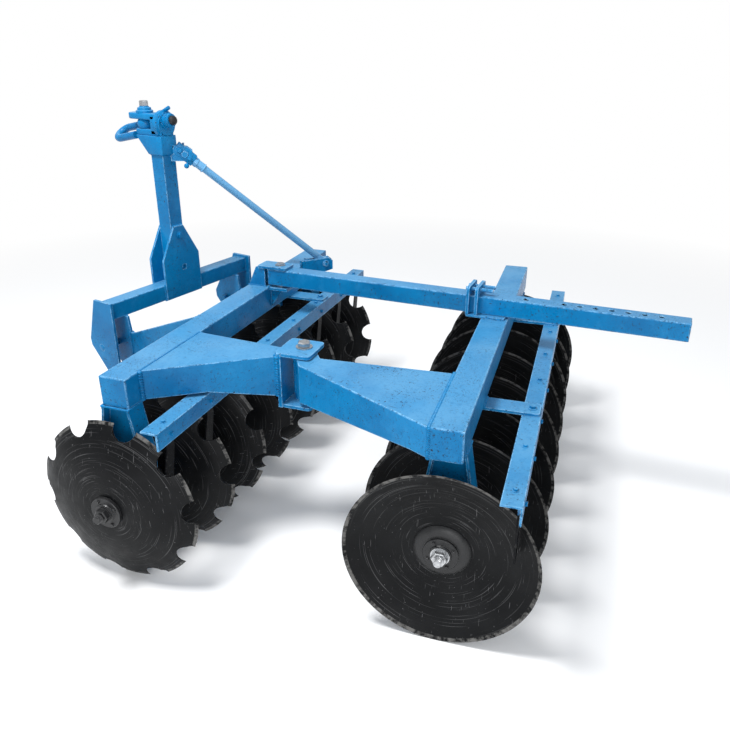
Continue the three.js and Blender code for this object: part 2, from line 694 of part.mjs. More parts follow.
function barGeometry() {
  const tube = cut(
    block([-BAR_HALF, BAR_HALF], [-BAR_NOSE, BAR_LENGTH - BAR_NOSE], [BAR_BOTTOM, BAR_TOP]),
    block(
      [-BAR_HALF + BAR_WALL, BAR_HALF - BAR_WALL],
      [-BAR_NOSE - 9, BAR_LENGTH],
      [BAR_BOTTOM + BAR_WALL, BAR_TOP - BAR_WALL],
    ),
  );
  const end = BAR_LENGTH - BAR_NOSE;
  const holes = [[0, BAR_PIN_RADIUS + PIN_CLEARANCE]];
  holes.push([end - BAR_LONE_HOLE, BAR_HOLE_RADIUS]);
  for (let i = 0; i < BAR_HOLES; i++) {
    holes.push([end - BAR_LAST_HOLE - i * BAR_HOLE_PITCH, BAR_HOLE_RADIUS]);
  }
  const drills = holes.map(([y, radius]) => rod([0, y, BAR_BOTTOM - 9], [0, y, BAR_TOP + 9], radius, 12));
  return cut(tube, ...drills);
}
piece(harrow, "adjusting_bar", barGeometry(), "paint", [barPin.x, barPin.y, 0], barTurn);

// The bracket's gussets stand on the front beam in line with the bar and carry the upper ear;
// the lower ear is a ledge on the beam's rear face.
function bracketGeometry() {
  const earBottom = BAR_TOP + PIN_CLEARANCE;
  const gussetRear = -Math.hypot(BAR_NOSE, BAR_HALF) + 3 - RUNNING_CLEARANCE;
  const foot = BRACKET_FRONT - BAR_PIN_Y;
  const gusset = [
    [foot, BEAM_TOP + GAP],
    [foot + 38, BAR_TOP + 4],
    [foot + 56, earBottom + BRACKET_EAR - 1],
    [gussetRear, earBottom + BRACKET_EAR - 1],
    [gussetRear, BEAM_TOP + GAP],
  ];
  const ear = (z) =>
    plate(
      roundedRectangle(-EAR_HALF_WIDTH, EAR_HALF_WIDTH, foot + 50, EAR_REACH, 10),
      "z",
      z,
      z + BRACKET_EAR,
    );
  const web = block(
    [-BAR_HALF, BAR_HALF],
    [foot + 40, foot + 40 + BRACKET_PLATE],
    [BEAM_TOP + GAP, earBottom + 2],
  );
  const pinHole = rod([0, 0, BAR_BOTTOM - 99], [0, 0, BAR_TOP + 99], BAR_PIN_RADIUS + GAP, 12);
  return cut(
    join(
      plate(gusset, "x", BAR_HALF - BRACKET_PLATE, BAR_HALF),
      plate(gusset, "x", -BAR_HALF, -BAR_HALF + BRACKET_PLATE),
      web,
      ear(earBottom),
    ),
    pinHole,
  );
}
const barTurnInFront = barTurn - FRONT_ANGLE;
piece(
  frontLine,
  "bar_bracket",
  bracketGeometry(),
  "paint",
  [BAR_PIN_X, BAR_PIN_Y, 0],
  barTurnInFront,
);

// The ledge: a plate level with the beam's top, on an upright gusset.
function ledgeGeometry() {
  const rear = BAR_PIN_Y + EAR_REACH;
  const front = BEAM_HALF + GAP;
  const shelf = block(
    [BAR_PIN_X - EAR_HALF_WIDTH, BAR_PIN_X + EAR_HALF_WIDTH],
    [front, rear],
    [BEAM_TOP - BRACKET_EAR, BEAM_TOP],
  );
  const rib = plate(
    [
      [front, BEAM_BOTTOM + 10],
      [rear - 30, BEAM_TOP - BRACKET_EAR + 1],
      [front, BEAM_TOP - BRACKET_EAR + 1],
    ],
    "x",
    BAR_PIN_X + 12,
    BAR_PIN_X + 12 + BRACKET_EAR,
  );
  const pinHole = rod(
    [BAR_PIN_X, BAR_PIN_Y, BEAM_BOTTOM],
    [BAR_PIN_X, BAR_PIN_Y, BEAM_TOP + 9],
    BAR_PIN_RADIUS + GAP,
    12,
  );
  return cut(join(shelf, rib), pinHole);
}
piece(frontLine, "bar_ledge", ledgeGeometry(), "paint");

const barPinTop = BAR_TOP + PIN_CLEARANCE + BRACKET_EAR;
const barPinShape = join(
  rod([0, 0, BEAM_TOP - BRACKET_EAR - 14], [0, 0, barPinTop + 1], BAR_PIN_RADIUS, 12),
  rod([0, 0, barPinTop + GAP], [0, 0, barPinTop + 10], BAR_PIN_RADIUS + 7, 6),
  rod([0, 0, BEAM_TOP + GAP], [0, 0, BAR_BOTTOM - PIN_CLEARANCE], BAR_PIN_RADIUS + 8, 12),
);
piece(frontLine, "bar_pin", barPinShape, "zinc", [BAR_PIN_X, BAR_PIN_Y, 0]);

// The clamp: a base that swivels on the rear beam and two rings round the bar.
function clampGeometry() {
  const half = BAR_HALF + SLIDE_CLEARANCE + CLAMP_RIM;
  const baseBottom = BEAM_TOP + RUBBING_GAP;
  const baseTop = BAR_BOTTOM - RUBBING_GAP;
  const ringTop = BAR_TOP + SLIDE_CLEARANCE + CLAMP_TOP_RIM;
  const front = CLAMP_RING_Y[1] - CLAMP_RING;
  const ring = (rearFace) =>
    plate(
      roundedRectangle(-half, half, baseBottom + 1, ringTop, 12),
      "y",
      rearFace - CLAMP_RING,
      rearFace,
    );
  const window = block(
    [-BAR_HALF - SLIDE_CLEARANCE, BAR_HALF + SLIDE_CLEARANCE],
    [front - 9, CLAMP_RING_Y[0] + 9],
    [baseTop, BAR_TOP + SLIDE_CLEARANCE],
  );
  const bolts = CLAMP_BOLT_X.map((x) => {
    const z = ringTop - CLAMP_TOP_RIM / 2;
    return rod([x, front - 12, z], [x, CLAMP_BOLT_REAR, z], CLAMP_BOLT_RADIUS, 8);
  });
  return join(
    plate(roundedRectangle(-half, half, front, BEAM_HALF - 8, 10), "z", baseBottom, baseTop),
    cut(join(ring(CLAMP_RING_Y[0]), ring(CLAMP_RING_Y[1])), window),
    ...bolts,
  );
}
piece(harrow, "bar_clamp", clampGeometry(), "paint", [clampAt.x, clampAt.y, 0], barTurn);

// ---- Hitch crossbar, link cheeks and pins ----
piece(
  harrow,
  "hitch_crossbar",
  hollowBar(CROSSBAR_LENGTH, CROSSBAR_SIZE, CROSSBAR_SIZE, CROSSBAR_WALL, false),
  "paint",
  [0, 0, CROSSBAR_TOP],
);

const cheekFoot = [
  [-104, LINK_PIN.z],
  [-107, LINK_PIN.z + 31],
];
const outerCheek = [
  [CHEEK_REAR, CHEEK_BOTTOM],
  [CHEEK_REAR, CROSSBAR_TOP + 10],
  [-CHEEK_TOP_HALF, CROSSBAR_TOP + 10],
  cheekFoot[1],
  cheekFoot[0],
  [-10, CHEEK_BOTTOM],
];
const innerCheek = [
  [CHEEK_REAR, CHEEK_BOTTOM],
  [CHEEK_REAR, STRUT_ROOT.top],
  [CHEEK_TOP_HALF, CROSSBAR_BOTTOM - GAP],
  [-CHEEK_TOP_HALF, CROSSBAR_BOTTOM - GAP],
  cheekFoot[1],
  cheekFoot[0],
  [-10, CHEEK_BOTTOM],
];
const outerCheekX = CROSSBAR_LENGTH / 2 + GAP;
const innerCheekX = outerCheekX - CHEEK_SPACING - CHEEK_THICKNESS;

function cheek(outline, x) {
  const { y, z } = LINK_PIN;
  const hole = rod([x - 9, y, z], [x + 99, y, z], LINK_PIN_RADIUS + GAP, 16);
  return cut(plate(outline, "x", x, x + CHEEK_THICKNESS), hole);
}

function linkPin() {
  const from = innerCheekX - LINK_PIN_HEAD;
  const to = outerCheekX + CHEEK_THICKNESS + GAP;
  const at = (x) => [x, LINK_PIN.y, LINK_PIN.z];
  return join(
    rod(at(from), at(to + 1), LINK_PIN_RADIUS, 16),
    rod(at(to), at(to + LINK_PIN_HEAD), LINK_PIN_HEAD_RADIUS, 16),
  );
}

// A strut: a tapered plate that rises from the inner cheek to the front beam.
function strut() {
  const outline = [
    [CHEEK_REAR + GAP, STRUT_ROOT.bottom],
    [STRUT_REACH, BEAM_BOTTOM + 14],
    [STRUT_REACH, BEAM_TOP + 34],
    [CHEEK_REAR + 16 + GAP, STRUT_ROOT.top - 6],
    [CHEEK_REAR + GAP, STRUT_ROOT.top - 6],
  ];
  return plate(outline, "x", innerCheekX - 2, innerCheekX - 2 + STRUT_THICKNESS);
}

function mirrored(geometry) {
  const copy = geometry.index ? geometry.toNonIndexed() : geometry.clone();
  copy.scale(-1, 1, 1);
  const { array } = copy.attributes.position;
  for (let i = 0; i < array.length; i += 9) {
    for (let j = 0; j < 3; j++) {
      [array[i + 3 + j], array[i + 6 + j]] = [array[i + 6 + j], array[i + 3 + j]];
    }
  }
  return copy;
}

const beamSpace = block(
  [-FRONT_BEAM_LENGTH, FRONT_BEAM_LENGTH],
  [-BEAM_HALF - GAP, 999],
  [0, 1999],
).applyMatrix4(frontLine.matrixWorld);

for (const side of ["left", "right"]) {
  const toSide = side === "left" ? (shape) => shape : mirrored;
  piece(harrow, `link_cheek_outer_${side}`, toSide(cheek(outerCheek, outerCheekX)), "paint");
  piece(harrow, `link_cheek_inner_${side}`, toSide(cheek(innerCheek, innerCheekX)), "paint");
  piece(harrow, `link_pin_${side}`, toSide(linkPin()), "zinc");
  const levelTop = block([-999, 999], [0, 999], [0, BEAM_TOP]);
  piece(harrow, `hitch_strut_${side}`, cut(trim(toSide(strut()), levelTop), beamSpace), "paint");
}

// ---- Mast and its two gusset plates ----
function gussetPlate(from, to) {
  const outline = [
    [MAST_X - GUSSET_HALF_WIDTH, CROSSBAR_BOTTOM],
    [MAST_X + GUSSET_HALF_WIDTH, CROSSBAR_BOTTOM],
    [MAST_X + GUSSET_HALF_WIDTH, GUSSET_SHOULDER],
    [MAST_X + GUSSET_TOP_HALF, GUSSET_TOP],
    [MAST_X - GUSSET_TOP_HALF, GUSSET_TOP],
    [MAST_X - GUSSET_HALF_WIDTH, GUSSET_SHOULDER],
  ];
  const boltAt = (y) => [MAST_X, y, MAST_BOLT_HEIGHT];
  const { x, z, size } = GUSSET_HOLE;
  return cut(
    plate(outline, "y", from, to),
    rod(boltAt(from - 9), boltAt(to + 9), MAST_BOLT_RADIUS + GAP, 12),
    block([MAST_X + x - size / 2, MAST_X + x + size / 2], [from - 9, to + 9], [z - size / 2, z + size / 2]),
  );
}
const gussetInner = CROSSBAR_HALF + GAP;
const gussetOuter = gussetInner + GUSSET_THICKNESS;
piece(harrow, "mast_gusset_front", gussetPlate(-gussetOuter, -gussetInner), "paint");
piece(harrow, "mast_gusset_rear", gussetPlate(gussetInner, gussetOuter), "paint");

const mastHalf = MAST_SIZE / 2;
const mastInner = mastHalf - MAST_WALL;
const mastTube = cut(
  block([-mastHalf, mastHalf], [-mastHalf, mastHalf], [CROSSBAR_TOP + GAP, MAST_TOP]),
  block([-mastInner, mastInner], [-mastInner, mastInner], [0, MAST_TOP + 9]),
  rod([0, -99, MAST_BOLT_HEIGHT], [0, 99, MAST_BOLT_HEIGHT], MAST_BOLT_RADIUS + GAP, 12),
);
piece(harrow, "mast", mastTube, "paint", [MAST_X, 0, 0]);

const boltHeadFrom = gussetOuter + GAP;
const boltHeadTo = boltHeadFrom + MAST_BOLT_HEAD;
const mastBolt = join(
  rod([0, -boltHeadTo, 0], [0, boltHeadTo, 0], MAST_BOLT_RADIUS, 12),
  rod([0, boltHeadFrom, 0], [0, boltHeadTo, 0], MAST_BOLT_HEAD_RADIUS, 6),
  rod([0, -boltHeadTo, 0], [0, -boltHeadFrom, 0], MAST_BOLT_HEAD_RADIUS, 6),
);
piece(harrow, "mast_bolt", mastBolt, "zinc", [MAST_X, 0, MAST_BOLT_HEIGHT]);

// ---- Mast head: a cap on the mast with two lugs for the top link and a bush behind ----
function lug(bottom, rear, corner) {
  return plate(
    roundedRectangle(-LUG_HALF_WIDTH, LUG_HALF_WIDTH, LUG_FRONT, rear, corner),
    "z",
    bottom,
    bottom + LUG_THICKNESS,
  );
}

function mastHead() {
  const capHalf = mastHalf + GAP + HEAD_CAP_WALL;
  const capBottom = MAST_TOP - 10;
  const upperTop = UPPER_LUG_BOTTOM + LUG_THICKNESS;
  const cap = plate(
    [
      [-capHalf, capBottom],
      [capHalf, capBottom],
      [capHalf, LOWER_LUG_BOTTOM + 1],
      [LUG_FRONT + 18, LOWER_LUG_BOTTOM + 1],
      [LUG_FRONT + 10, LOWER_LUG_BOTTOM - 28],
    ],
    "x",
    -capHalf,
    capHalf,
  );
  const socket = block(
    [-mastHalf - GAP, mastHalf + GAP],
    [-mastHalf - GAP, mastHalf + GAP],
    [capBottom - 9, MAST_TOP + GAP],
  );
  const web = block(
    [-LUG_HALF_WIDTH, LUG_HALF_WIDTH],
    [HEAD_WEB_FRONT, HEAD_REAR],
    [LOWER_LUG_BOTTOM + 2, upperTop - 1],
  );
  const bushZ = (LOWER_LUG_BOTTOM + upperTop) / 2 + 12;
  const bush = rod([0, HEAD_REAR - 5, bushZ], [0, HEAD_REAR + BUSH_REACH, bushZ + 9], BUSH_RADIUS, 20);
  const knob = rod(
    [0, HEAD_REAR + BUSH_REACH - 2, bushZ + 9],
    [0, HEAD_REAR + BUSH_REACH + 14, bushZ + 13],
    BUSH_RADIUS - 6,
    16,
  );
  const lever = rod([-6, HEAD_WEB_FRONT + 20, upperTop - 2], [-6, HEAD_REAR + 40, upperTop + 26], 8, 10);
  const boltHole = rod(
    [0, TOP_BOLT_Y, LOWER_LUG_BOTTOM - 99],
    [0, TOP_BOLT_Y, upperTop + 9],
    TOP_BOLT_RADIUS + GAP,
    12,
  );
  return cut(
    join(
      cut(cap, socket),
      lug(LOWER_LUG_BOTTOM, HEAD_REAR, LOWER_LUG_CORNER),
      lug(UPPER_LUG_BOTTOM, HEAD_REAR, UPPER_LUG_CORNER),
      web,
      bush,
      knob,
      lever,
    ),
    boltHole,
  );
}
piece(harrow, "mast_head", mastHead(), "paint", [MAST_X, 0, 0]);

const upperLugTop = UPPER_LUG_BOTTOM + LUG_THICKNESS;
const topBolt = join(
  rod([0, 0, LOWER_LUG_BOTTOM - 34], [0, 0, upperLugTop + TOP_BOLT_STANDS + 2], TOP_BOLT_RADIUS, 12),
  rod(
    [0, 0, upperLugTop + TOP_BOLT_STANDS],
    [0, 0, upperLugTop + TOP_BOLT_STANDS + TOP_BOLT_HEAD_HEIGHT],
    TOP_BOLT_HEAD_RADIUS,
    6,
  ),
);
piece(harrow, "top_link_bolt", topBolt, "zinc", [MAST_X, TOP_BOLT_Y, 0]);

// The towing eye: a round bar bent into a loop, drooping forwards from the lower lug.
function towingEye() {
  const path = new THREE.CurvePath();
  const left = new THREE.Vector3(EYE_HALF_WIDTH, 0, 0);
  const leftEnd = new THREE.Vector3(EYE_HALF_WIDTH, -EYE_LEG, 0);
  path.add(new THREE.LineCurve3(left, leftEnd));
  const turns = [];
  for (let i = 0; i <= 8; i++) {
    const angle = (Math.PI * i) / 8;
    turns.push(
      new THREE.Vector3(EYE_HALF_WIDTH * Math.cos(angle), -EYE_LEG - EYE_HALF_WIDTH * Math.sin(angle), 0),
    );
  }
  path.add(new THREE.CatmullRomCurve3(turns));
  path.add(
    new THREE.LineCurve3(
      new THREE.Vector3(-EYE_HALF_WIDTH, -EYE_LEG, 0),
      new THREE.Vector3(-EYE_HALF_WIDTH, 0, 0),
    ),
  );
  const section = new THREE.Shape();
  section.absarc(0, 0, EYE_BAR_RADIUS, 0, 2 * Math.PI);
  const bar = new THREE.ExtrudeGeometry(section, { steps: 20, extrudePath: path, curveSegments: 5 });
  return bar.rotateX(EYE_DROOP);
}
piece(harrow, "towing_eye", towingEye(), "paint", [
  MAST_X,
  LUG_FRONT - GAP - EYE_BAR_RADIUS * Math.sin(EYE_DROOP),
  LOWER_LUG_BOTTOM + LUG_THICKNESS / 2,
]);

// ---- Brace: a rod between a clevis on the mast and lugs on the front beam ----
const braceTop = new THREE.Vector3(BRACE_UPPER.x, BRACE_UPPER.y, MAST_TOP - BRACE_DROP);
const braceFoot = carried([BRACE_LOWER.x, BRACE_LOWER.y, BRACE_LOWER.z], frontLine, harrow);
const braceRun = braceFoot.clone().sub(braceTop);
const bracePlan = Math.atan2(braceRun.y, braceRun.x); // heading seen from above
const braceLength = Math.hypot(braceRun.x, braceRun.y, braceRun.z);
const braceFall = Math.asin(-braceRun.z / braceLength);

// The round rod ends where its underside rises clear of the lower lugs.
const lugGap = BRACE_TONGUE / 2 + PIN_CLEARANCE;
const rodInLugs = Math.sqrt(BRACE_RADIUS ** 2 - lugGap ** 2);
const rodClear = (BRACE_LUG_CREST + rodInLugs * Math.cos(braceFall)) / Math.sin(braceFall);
const rodEnd = Math.max(BRACE_SHOULDER, rodClear);

// Built along +X from the upper bolt, then turned down and round to the lower bolt.
function braceGeometry() {
  const half = BRACE_TONGUE / 2;
  const tongue = (x, inward) => {
    const root = x + inward * (rodEnd + 10);
    return join(
      rod([x, -half, 0], [x, half, 0], BRACE_EYE_RADIUS, 16),
      block([Math.min(x, root), Math.max(x, root)], [-half, half], [-15, 15]),
    );
  };
  const socketFrom = 44;
  const holeRadius = (BRACE_BOLT_RADIUS + GAP) / Math.cos(Math.PI / BRACE_BOLT_SIDES);
  const hole = (x) => rod([x, -99, 0], [x, 99, 0], holeRadius, BRACE_BOLT_SIDES);
  const bar = join(
    rod([socketFrom, 0, 0], [braceLength - rodEnd, 0, 0], BRACE_RADIUS, 14),
    rod([socketFrom, 0, 0], [socketFrom + BRACE_SOCKET_LENGTH, 0, 0], BRACE_SOCKET_RADIUS, 14),
    tongue(0, 1),
    tongue(braceLength, -1),
  );
  return cut(bar, hole(0), hole(braceLength));
}
const brace = piece(harrow, "mast_brace", braceGeometry(), "paint", braceTop.toArray());
brace.rotation.set(0, braceFall, bracePlan, "ZYX");

// The mast's clevis: two plates in line with the brace, welded to the mast's corner.
function clevisGeometry() {
  const inner = BRACE_TONGUE / 2 + PIN_CLEARANCE;
  const outer = inner + BRACE_LUG_THICKNESS;
  const back = -Math.hypot(braceTop.x - MAST_X, braceTop.y);
  const outline = [
    [back, -26],
    [BRACE_LUG_REACH - 10, -30],
    [BRACE_LUG_REACH, -10],
    [BRACE_LUG_REACH, 14],
    [14, 30],
    [back, 44],
  ];
  const bolt = join(
    rod([0, -outer - 12, 0], [0, outer + 16, 0], BRACE_BOLT_RADIUS, BRACE_BOLT_SIDES),
    rod([0, -outer - 12, 0], [0, -outer + 1, 0], BRACE_BOLT_HEAD, 6),
    rod([0, outer - 1, 0], [0, outer + 12, 0], BRACE_BOLT_HEAD, 6),
  );
  const bridge = block([back, back + 30], [-inner - 1, inner + 1], [-22, 40]);
  return join(plate(outline, "y", inner, outer), plate(outline, "y", -outer, -inner), bridge, bolt);
}
const mastSpace = block(
  [MAST_X - mastHalf - GAP, MAST_X + mastHalf + GAP],
  [-mastHalf - GAP, mastHalf + GAP],
  [0, 1999],
);
const headSpace = block(
  [MAST_X - mastHalf - HEAD_CAP_WALL - 2 * GAP, MAST_X + mastHalf + HEAD_CAP_WALL + 2 * GAP],
  [-299, mastHalf + HEAD_CAP_WALL + 2 * GAP],
  [MAST_TOP - 10 - GAP, 1999],
);
const clevisPlace = new THREE.Matrix4()
  .makeRotationZ(bracePlan)
  .setPosition(braceTop.x, braceTop.y, braceTop.z);
piece(
  harrow,
  "brace_clevis",
  cut(clevisGeometry().applyMatrix4(clevisPlace), mastSpace, headSpace),
  "paint",
);

// The lower lugs stand on the front beam's rear face, one each side of the brace.
const lowerTurn = bracePlan - FRONT_ANGLE - Math.PI / 2;
function lowerLugs() {
  const inner = BRACE_TONGUE / 2 + PIN_CLEARANCE;
  const outer = inner + BRACE_LUG_THICKNESS;
  const outline = [
    [-BRACE_LOWER.y, -78],
    [BRACE_LUG_REACH, -30],
    [BRACE_LUG_REACH, 12],
    [16, 26],
    [-BRACE_LOWER.y, 14],
  ];
  const bolt = join(
    rod([-outer - 12, 0, 0], [outer + 16, 0, 0], BRACE_BOLT_RADIUS, BRACE_BOLT_SIDES),
    rod([-outer - 12, 0, 0], [-outer + 1, 0, 0], BRACE_BOLT_HEAD, 6),
    rod([outer - 1, 0, 0], [outer + 12, 0, 0], BRACE_BOLT_HEAD, 6),
  );
  const bridge = block([-inner - 1, inner + 1], [-BRACE_LOWER.y, 20 - BRACE_LOWER.y + BEAM_HALF], [-70, 12]);
  return join(plate(outline, "x", inner, outer), plate(outline, "x", -outer, -inner), bridge, bolt);
}
const lugPlace = new THREE.Matrix4()
  .makeRotationZ(lowerTurn)
  .setPosition(BRACE_LOWER.x, BRACE_LOWER.y, BRACE_LOWER.z);
const frontBeamSpace = block(
  [-FRONT_BEAM_LENGTH, FRONT_BEAM_LENGTH],
  [-999, BEAM_HALF + GAP],
  [0, 1999],
);
piece(frontLine, "brace_lugs", cut(lowerLugs().applyMatrix4(lugPlace), frontBeamSpace), "paint");

// ---- The part's origin: the middle of its box, on the ground ----
harrow.updateMatrixWorld(true);
const size = new THREE.Box3().setFromObject(harrow, true);
const middle = size.getCenter(new THREE.Vector3());
const machine = new THREE.Group();
machine.add(harrow);
harrow.position.set(-middle.x, -middle.y, -size.min.z);

export default machine;
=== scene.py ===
# %% [markdown]
# # A mounted offset disc harrow
# Two rows of dished steel discs hang under two box beams. A tractor carries the machine on its
# three-point hitch and drags the discs through the soil at an angle. The structure comes from a
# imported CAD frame, so every beam, arm and plate is already in its place. This notebook gives those
# parts their finish and models what a frame leaves out: discs with sharpened edges, turned hubs,
# weld beads, bolts, bearing covers and the forged head of the mast.

import json
import math
import random

import bpy
from mathutils import Matrix, Vector


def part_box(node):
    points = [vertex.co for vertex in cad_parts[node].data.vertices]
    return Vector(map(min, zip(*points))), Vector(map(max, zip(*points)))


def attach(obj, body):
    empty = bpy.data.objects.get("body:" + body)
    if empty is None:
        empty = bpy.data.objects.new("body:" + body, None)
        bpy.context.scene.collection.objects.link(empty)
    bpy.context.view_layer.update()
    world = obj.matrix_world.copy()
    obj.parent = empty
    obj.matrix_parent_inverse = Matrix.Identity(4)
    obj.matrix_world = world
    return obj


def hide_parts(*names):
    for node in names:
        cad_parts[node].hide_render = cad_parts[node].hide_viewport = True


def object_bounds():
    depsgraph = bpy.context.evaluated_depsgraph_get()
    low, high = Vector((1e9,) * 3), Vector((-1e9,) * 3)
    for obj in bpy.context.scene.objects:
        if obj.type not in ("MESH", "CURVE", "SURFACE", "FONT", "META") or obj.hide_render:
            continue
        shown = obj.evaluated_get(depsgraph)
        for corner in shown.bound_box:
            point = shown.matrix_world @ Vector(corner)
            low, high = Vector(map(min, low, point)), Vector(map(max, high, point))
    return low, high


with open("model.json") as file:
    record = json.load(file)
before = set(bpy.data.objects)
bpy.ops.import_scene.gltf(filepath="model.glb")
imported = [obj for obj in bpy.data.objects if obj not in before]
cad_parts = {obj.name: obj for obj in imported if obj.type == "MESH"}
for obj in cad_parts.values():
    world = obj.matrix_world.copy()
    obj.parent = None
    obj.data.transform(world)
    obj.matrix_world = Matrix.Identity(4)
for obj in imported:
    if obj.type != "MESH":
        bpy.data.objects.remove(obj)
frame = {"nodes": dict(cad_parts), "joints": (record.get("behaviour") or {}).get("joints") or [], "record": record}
cad_low, cad_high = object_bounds()
nodes = frame["nodes"]
bpy.ops.object.select_all(action="DESELECT")
print(len(nodes), "CAD nodes, overall size", [round(v, 3) for v in cad_high - cad_low])

# %% [markdown]
# ## Where things are
# Each beam lies at its own angle across the machine, so a bolt or a weld on it is easiest to place
# in the beam's own frame: X along the beam to the machine's left, Y to the rear and Z up from the
# ground. A 4x4 matrix carries a point from such a frame to the machine. The gang joints give the
# beams' directions, and the crossbar's box gives the middle of the hitch.


# %% Frames of the two beams, the adjusting bar and the hitch
def joint(name):
    return next(j for j in frame["joints"] if j["name"] == name)


def level_frame(x_axis, origin):
    x = Vector(x_axis).normalized()
    up = Vector((0, 0, 1))
    matrix = Matrix((x, up.cross(x), up)).transposed().to_4x4()
    matrix.translation = (origin[0], origin[1], 0)
    return matrix


FRONT = level_frame(joint("front_gang_roll")["axis"], joint("front_gang_roll")["pos_m"])
REAR = level_frame(joint("rear_gang_roll")["axis"], joint("rear_gang_roll")["pos_m"])
bar_pin = Vector(joint("bar_swivel")["pos_m"])
clamp_pin = Vector(joint("clamp_swivel")["pos_m"])
bar_run = clamp_pin - bar_pin
BAR = level_frame((bar_run.y, -bar_run.x, 0), bar_pin)
crossbar_low, crossbar_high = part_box("hitch_crossbar")
hitch_middle = (crossbar_low + crossbar_high) / 2
HITCH = Matrix.Translation((hitch_middle.x, hitch_middle.y, 0))
pivot = Vector(joint("frame_hinge")["pos_m"])
pivot_in_front = FRONT.inverted() @ pivot
pivot_in_rear = REAR.inverted() @ pivot
axle_height = joint("front_gang_roll")["pos_m"][2]
beam_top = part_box("front_beam")[1].z
beam_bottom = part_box("front_beam")[0].z
beam_half = 0.051  # metres
print("front beam turned", round(math.degrees(FRONT.to_euler().z), 1), "degrees, rear beam",
      round(math.degrees(REAR.to_euler().z), 1))

# %% [markdown]
# ## Camera and studio
# The camera looks down over the left rear corner with a 35 mm lens. A plain pale floor catches the
# shadow. The world is white to the camera, through the Light Path node, while a softer grey lights
# the paint, so the background stays white with no extra light on the object.

# %% Camera
scene = bpy.context.scene
scene.view_settings.view_transform = "Standard"
EYE = Vector((2.2095, 2.4342, 1.7206))  # from the middle of the hitch, on the ground
HEADING = 0.5702  # radians, from the -X axis towards -Y
DIP = 0.42668
LENS = 35.51
camera_data = bpy.data.cameras.new("studio_camera")
camera_data.lens = LENS
camera_data.sensor_width = 36
camera = bpy.data.objects.new("studio_camera", camera_data)
scene.collection.objects.link(camera)
scene.camera = camera
look = Vector((
    -math.cos(DIP) * math.cos(HEADING),
    -math.cos(DIP) * math.sin(HEADING),
    -math.sin(DIP),
))
camera.location = HITCH @ EYE
camera.rotation_euler = look.to_track_quat("-Z", "Y").to_euler()
print("camera at", [round(v, 3) for v in camera.location])


# %% World: white to the eye, grey to the paint
def add_node(tree, kind, **values):
    """A new node with values on its input sockets. An underscore stands for a space."""
    node = tree.nodes.new(kind)
    set_values(node, **values)
    return node


def set_values(node, **values):
    for socket, value in values.items():
        node.inputs[socket.replace("_", " ")].default_value = value


def wire(tree, *pairs):
    for output, socket in pairs:
        tree.links.new(output, socket)


world = bpy.data.worlds.new("studio_world")
scene.world = world
world.use_nodes = True
sky = world.node_tree
sky.nodes.clear()
path = add_node(sky, "ShaderNodeLightPath")
white = add_node(sky, "ShaderNodeBackground", Color=(1, 1, 1, 1), Strength=1.0)
ambient = add_node(sky, "ShaderNodeBackground", Color=(0.93, 0.96, 1, 1), Strength=0.70)
either = add_node(sky, "ShaderNodeMixShader")
sky_out = add_node(sky, "ShaderNodeOutputWorld")
wire(
    sky,
    (path.outputs["Is Camera Ray"], either.inputs[0]),
    (ambient.outputs[0], either.inputs[1]),
    (white.outputs[0], either.inputs[2]),
    (either.outputs[0], sky_out.inputs["Surface"]),
)
print("world of", len(sky.nodes), "nodes")


# %% Lamps: one broad key above the left rear, one low fill
def area_lamp(name, location, target, size, power):
    data = bpy.data.lights.new(name, "AREA")
    data.shape = "DISK"
    data.size = size
    data.energy = power
    lamp = bpy.data.objects.new(name, data)
    scene.collection.objects.link(lamp)
    lamp.location = location
    lamp.rotation_euler = (Vector(target) - Vector(location)).to_track_quat("-Z", "Y").to_euler()
    return lamp


middle = (cad_low + cad_high) / 2
area_lamp("key_lamp", (1.6, -0.6, 4.6), middle, 1.2, 190)
area_lamp("fill_lamp", (4.2, 2.6, 1.6), middle, 2.5, 75)
print(len(bpy.data.lights), "lamps aimed at", [round(v, 2) for v in middle])

# %% Floor
FLOOR_RADIUS = 9
bpy.ops.mesh.primitive_circle_add(vertices=96, radius=FLOOR_RADIUS, fill_type="NGON")
floor = bpy.context.object
floor.name = "studio_floor"
floor_look = bpy.data.materials.new("pale_floor")
floor_look.use_nodes = True
tree = floor_look.node_tree
floor_shader = tree.nodes["Principled BSDF"]
set_values(floor_shader, Base_Color=(0.94, 0.94, 0.94, 1), Roughness=0.9, Specular_IOR_Level=0.1)
far_white = add_node(tree, "ShaderNodeEmission", Color=(1, 1, 1, 1))
where = add_node(tree, "ShaderNodeTexCoord")
distance = add_node(tree, "ShaderNodeVectorMath")
distance.operation = "LENGTH"
fade = add_node(tree, "ShaderNodeMapRange", From_Min=2.0, From_Max=5.0)  # metres
blend_far = add_node(tree, "ShaderNodeMixShader")
wire(
    tree,
    (where.outputs["Object"], distance.inputs[0]),
    (distance.outputs["Value"], fade.inputs["Value"]),
    (fade.outputs["Result"], blend_far.inputs[0]),
    (floor_shader.outputs[0], blend_far.inputs[1]),
    (far_white.outputs[0], blend_far.inputs[2]),
    (blend_far.outputs[0], tree.nodes["Material Output"].inputs["Surface"]),
)
floor.data.materials.append(floor_look)
print("floor", 2 * FLOOR_RADIUS, "m across")
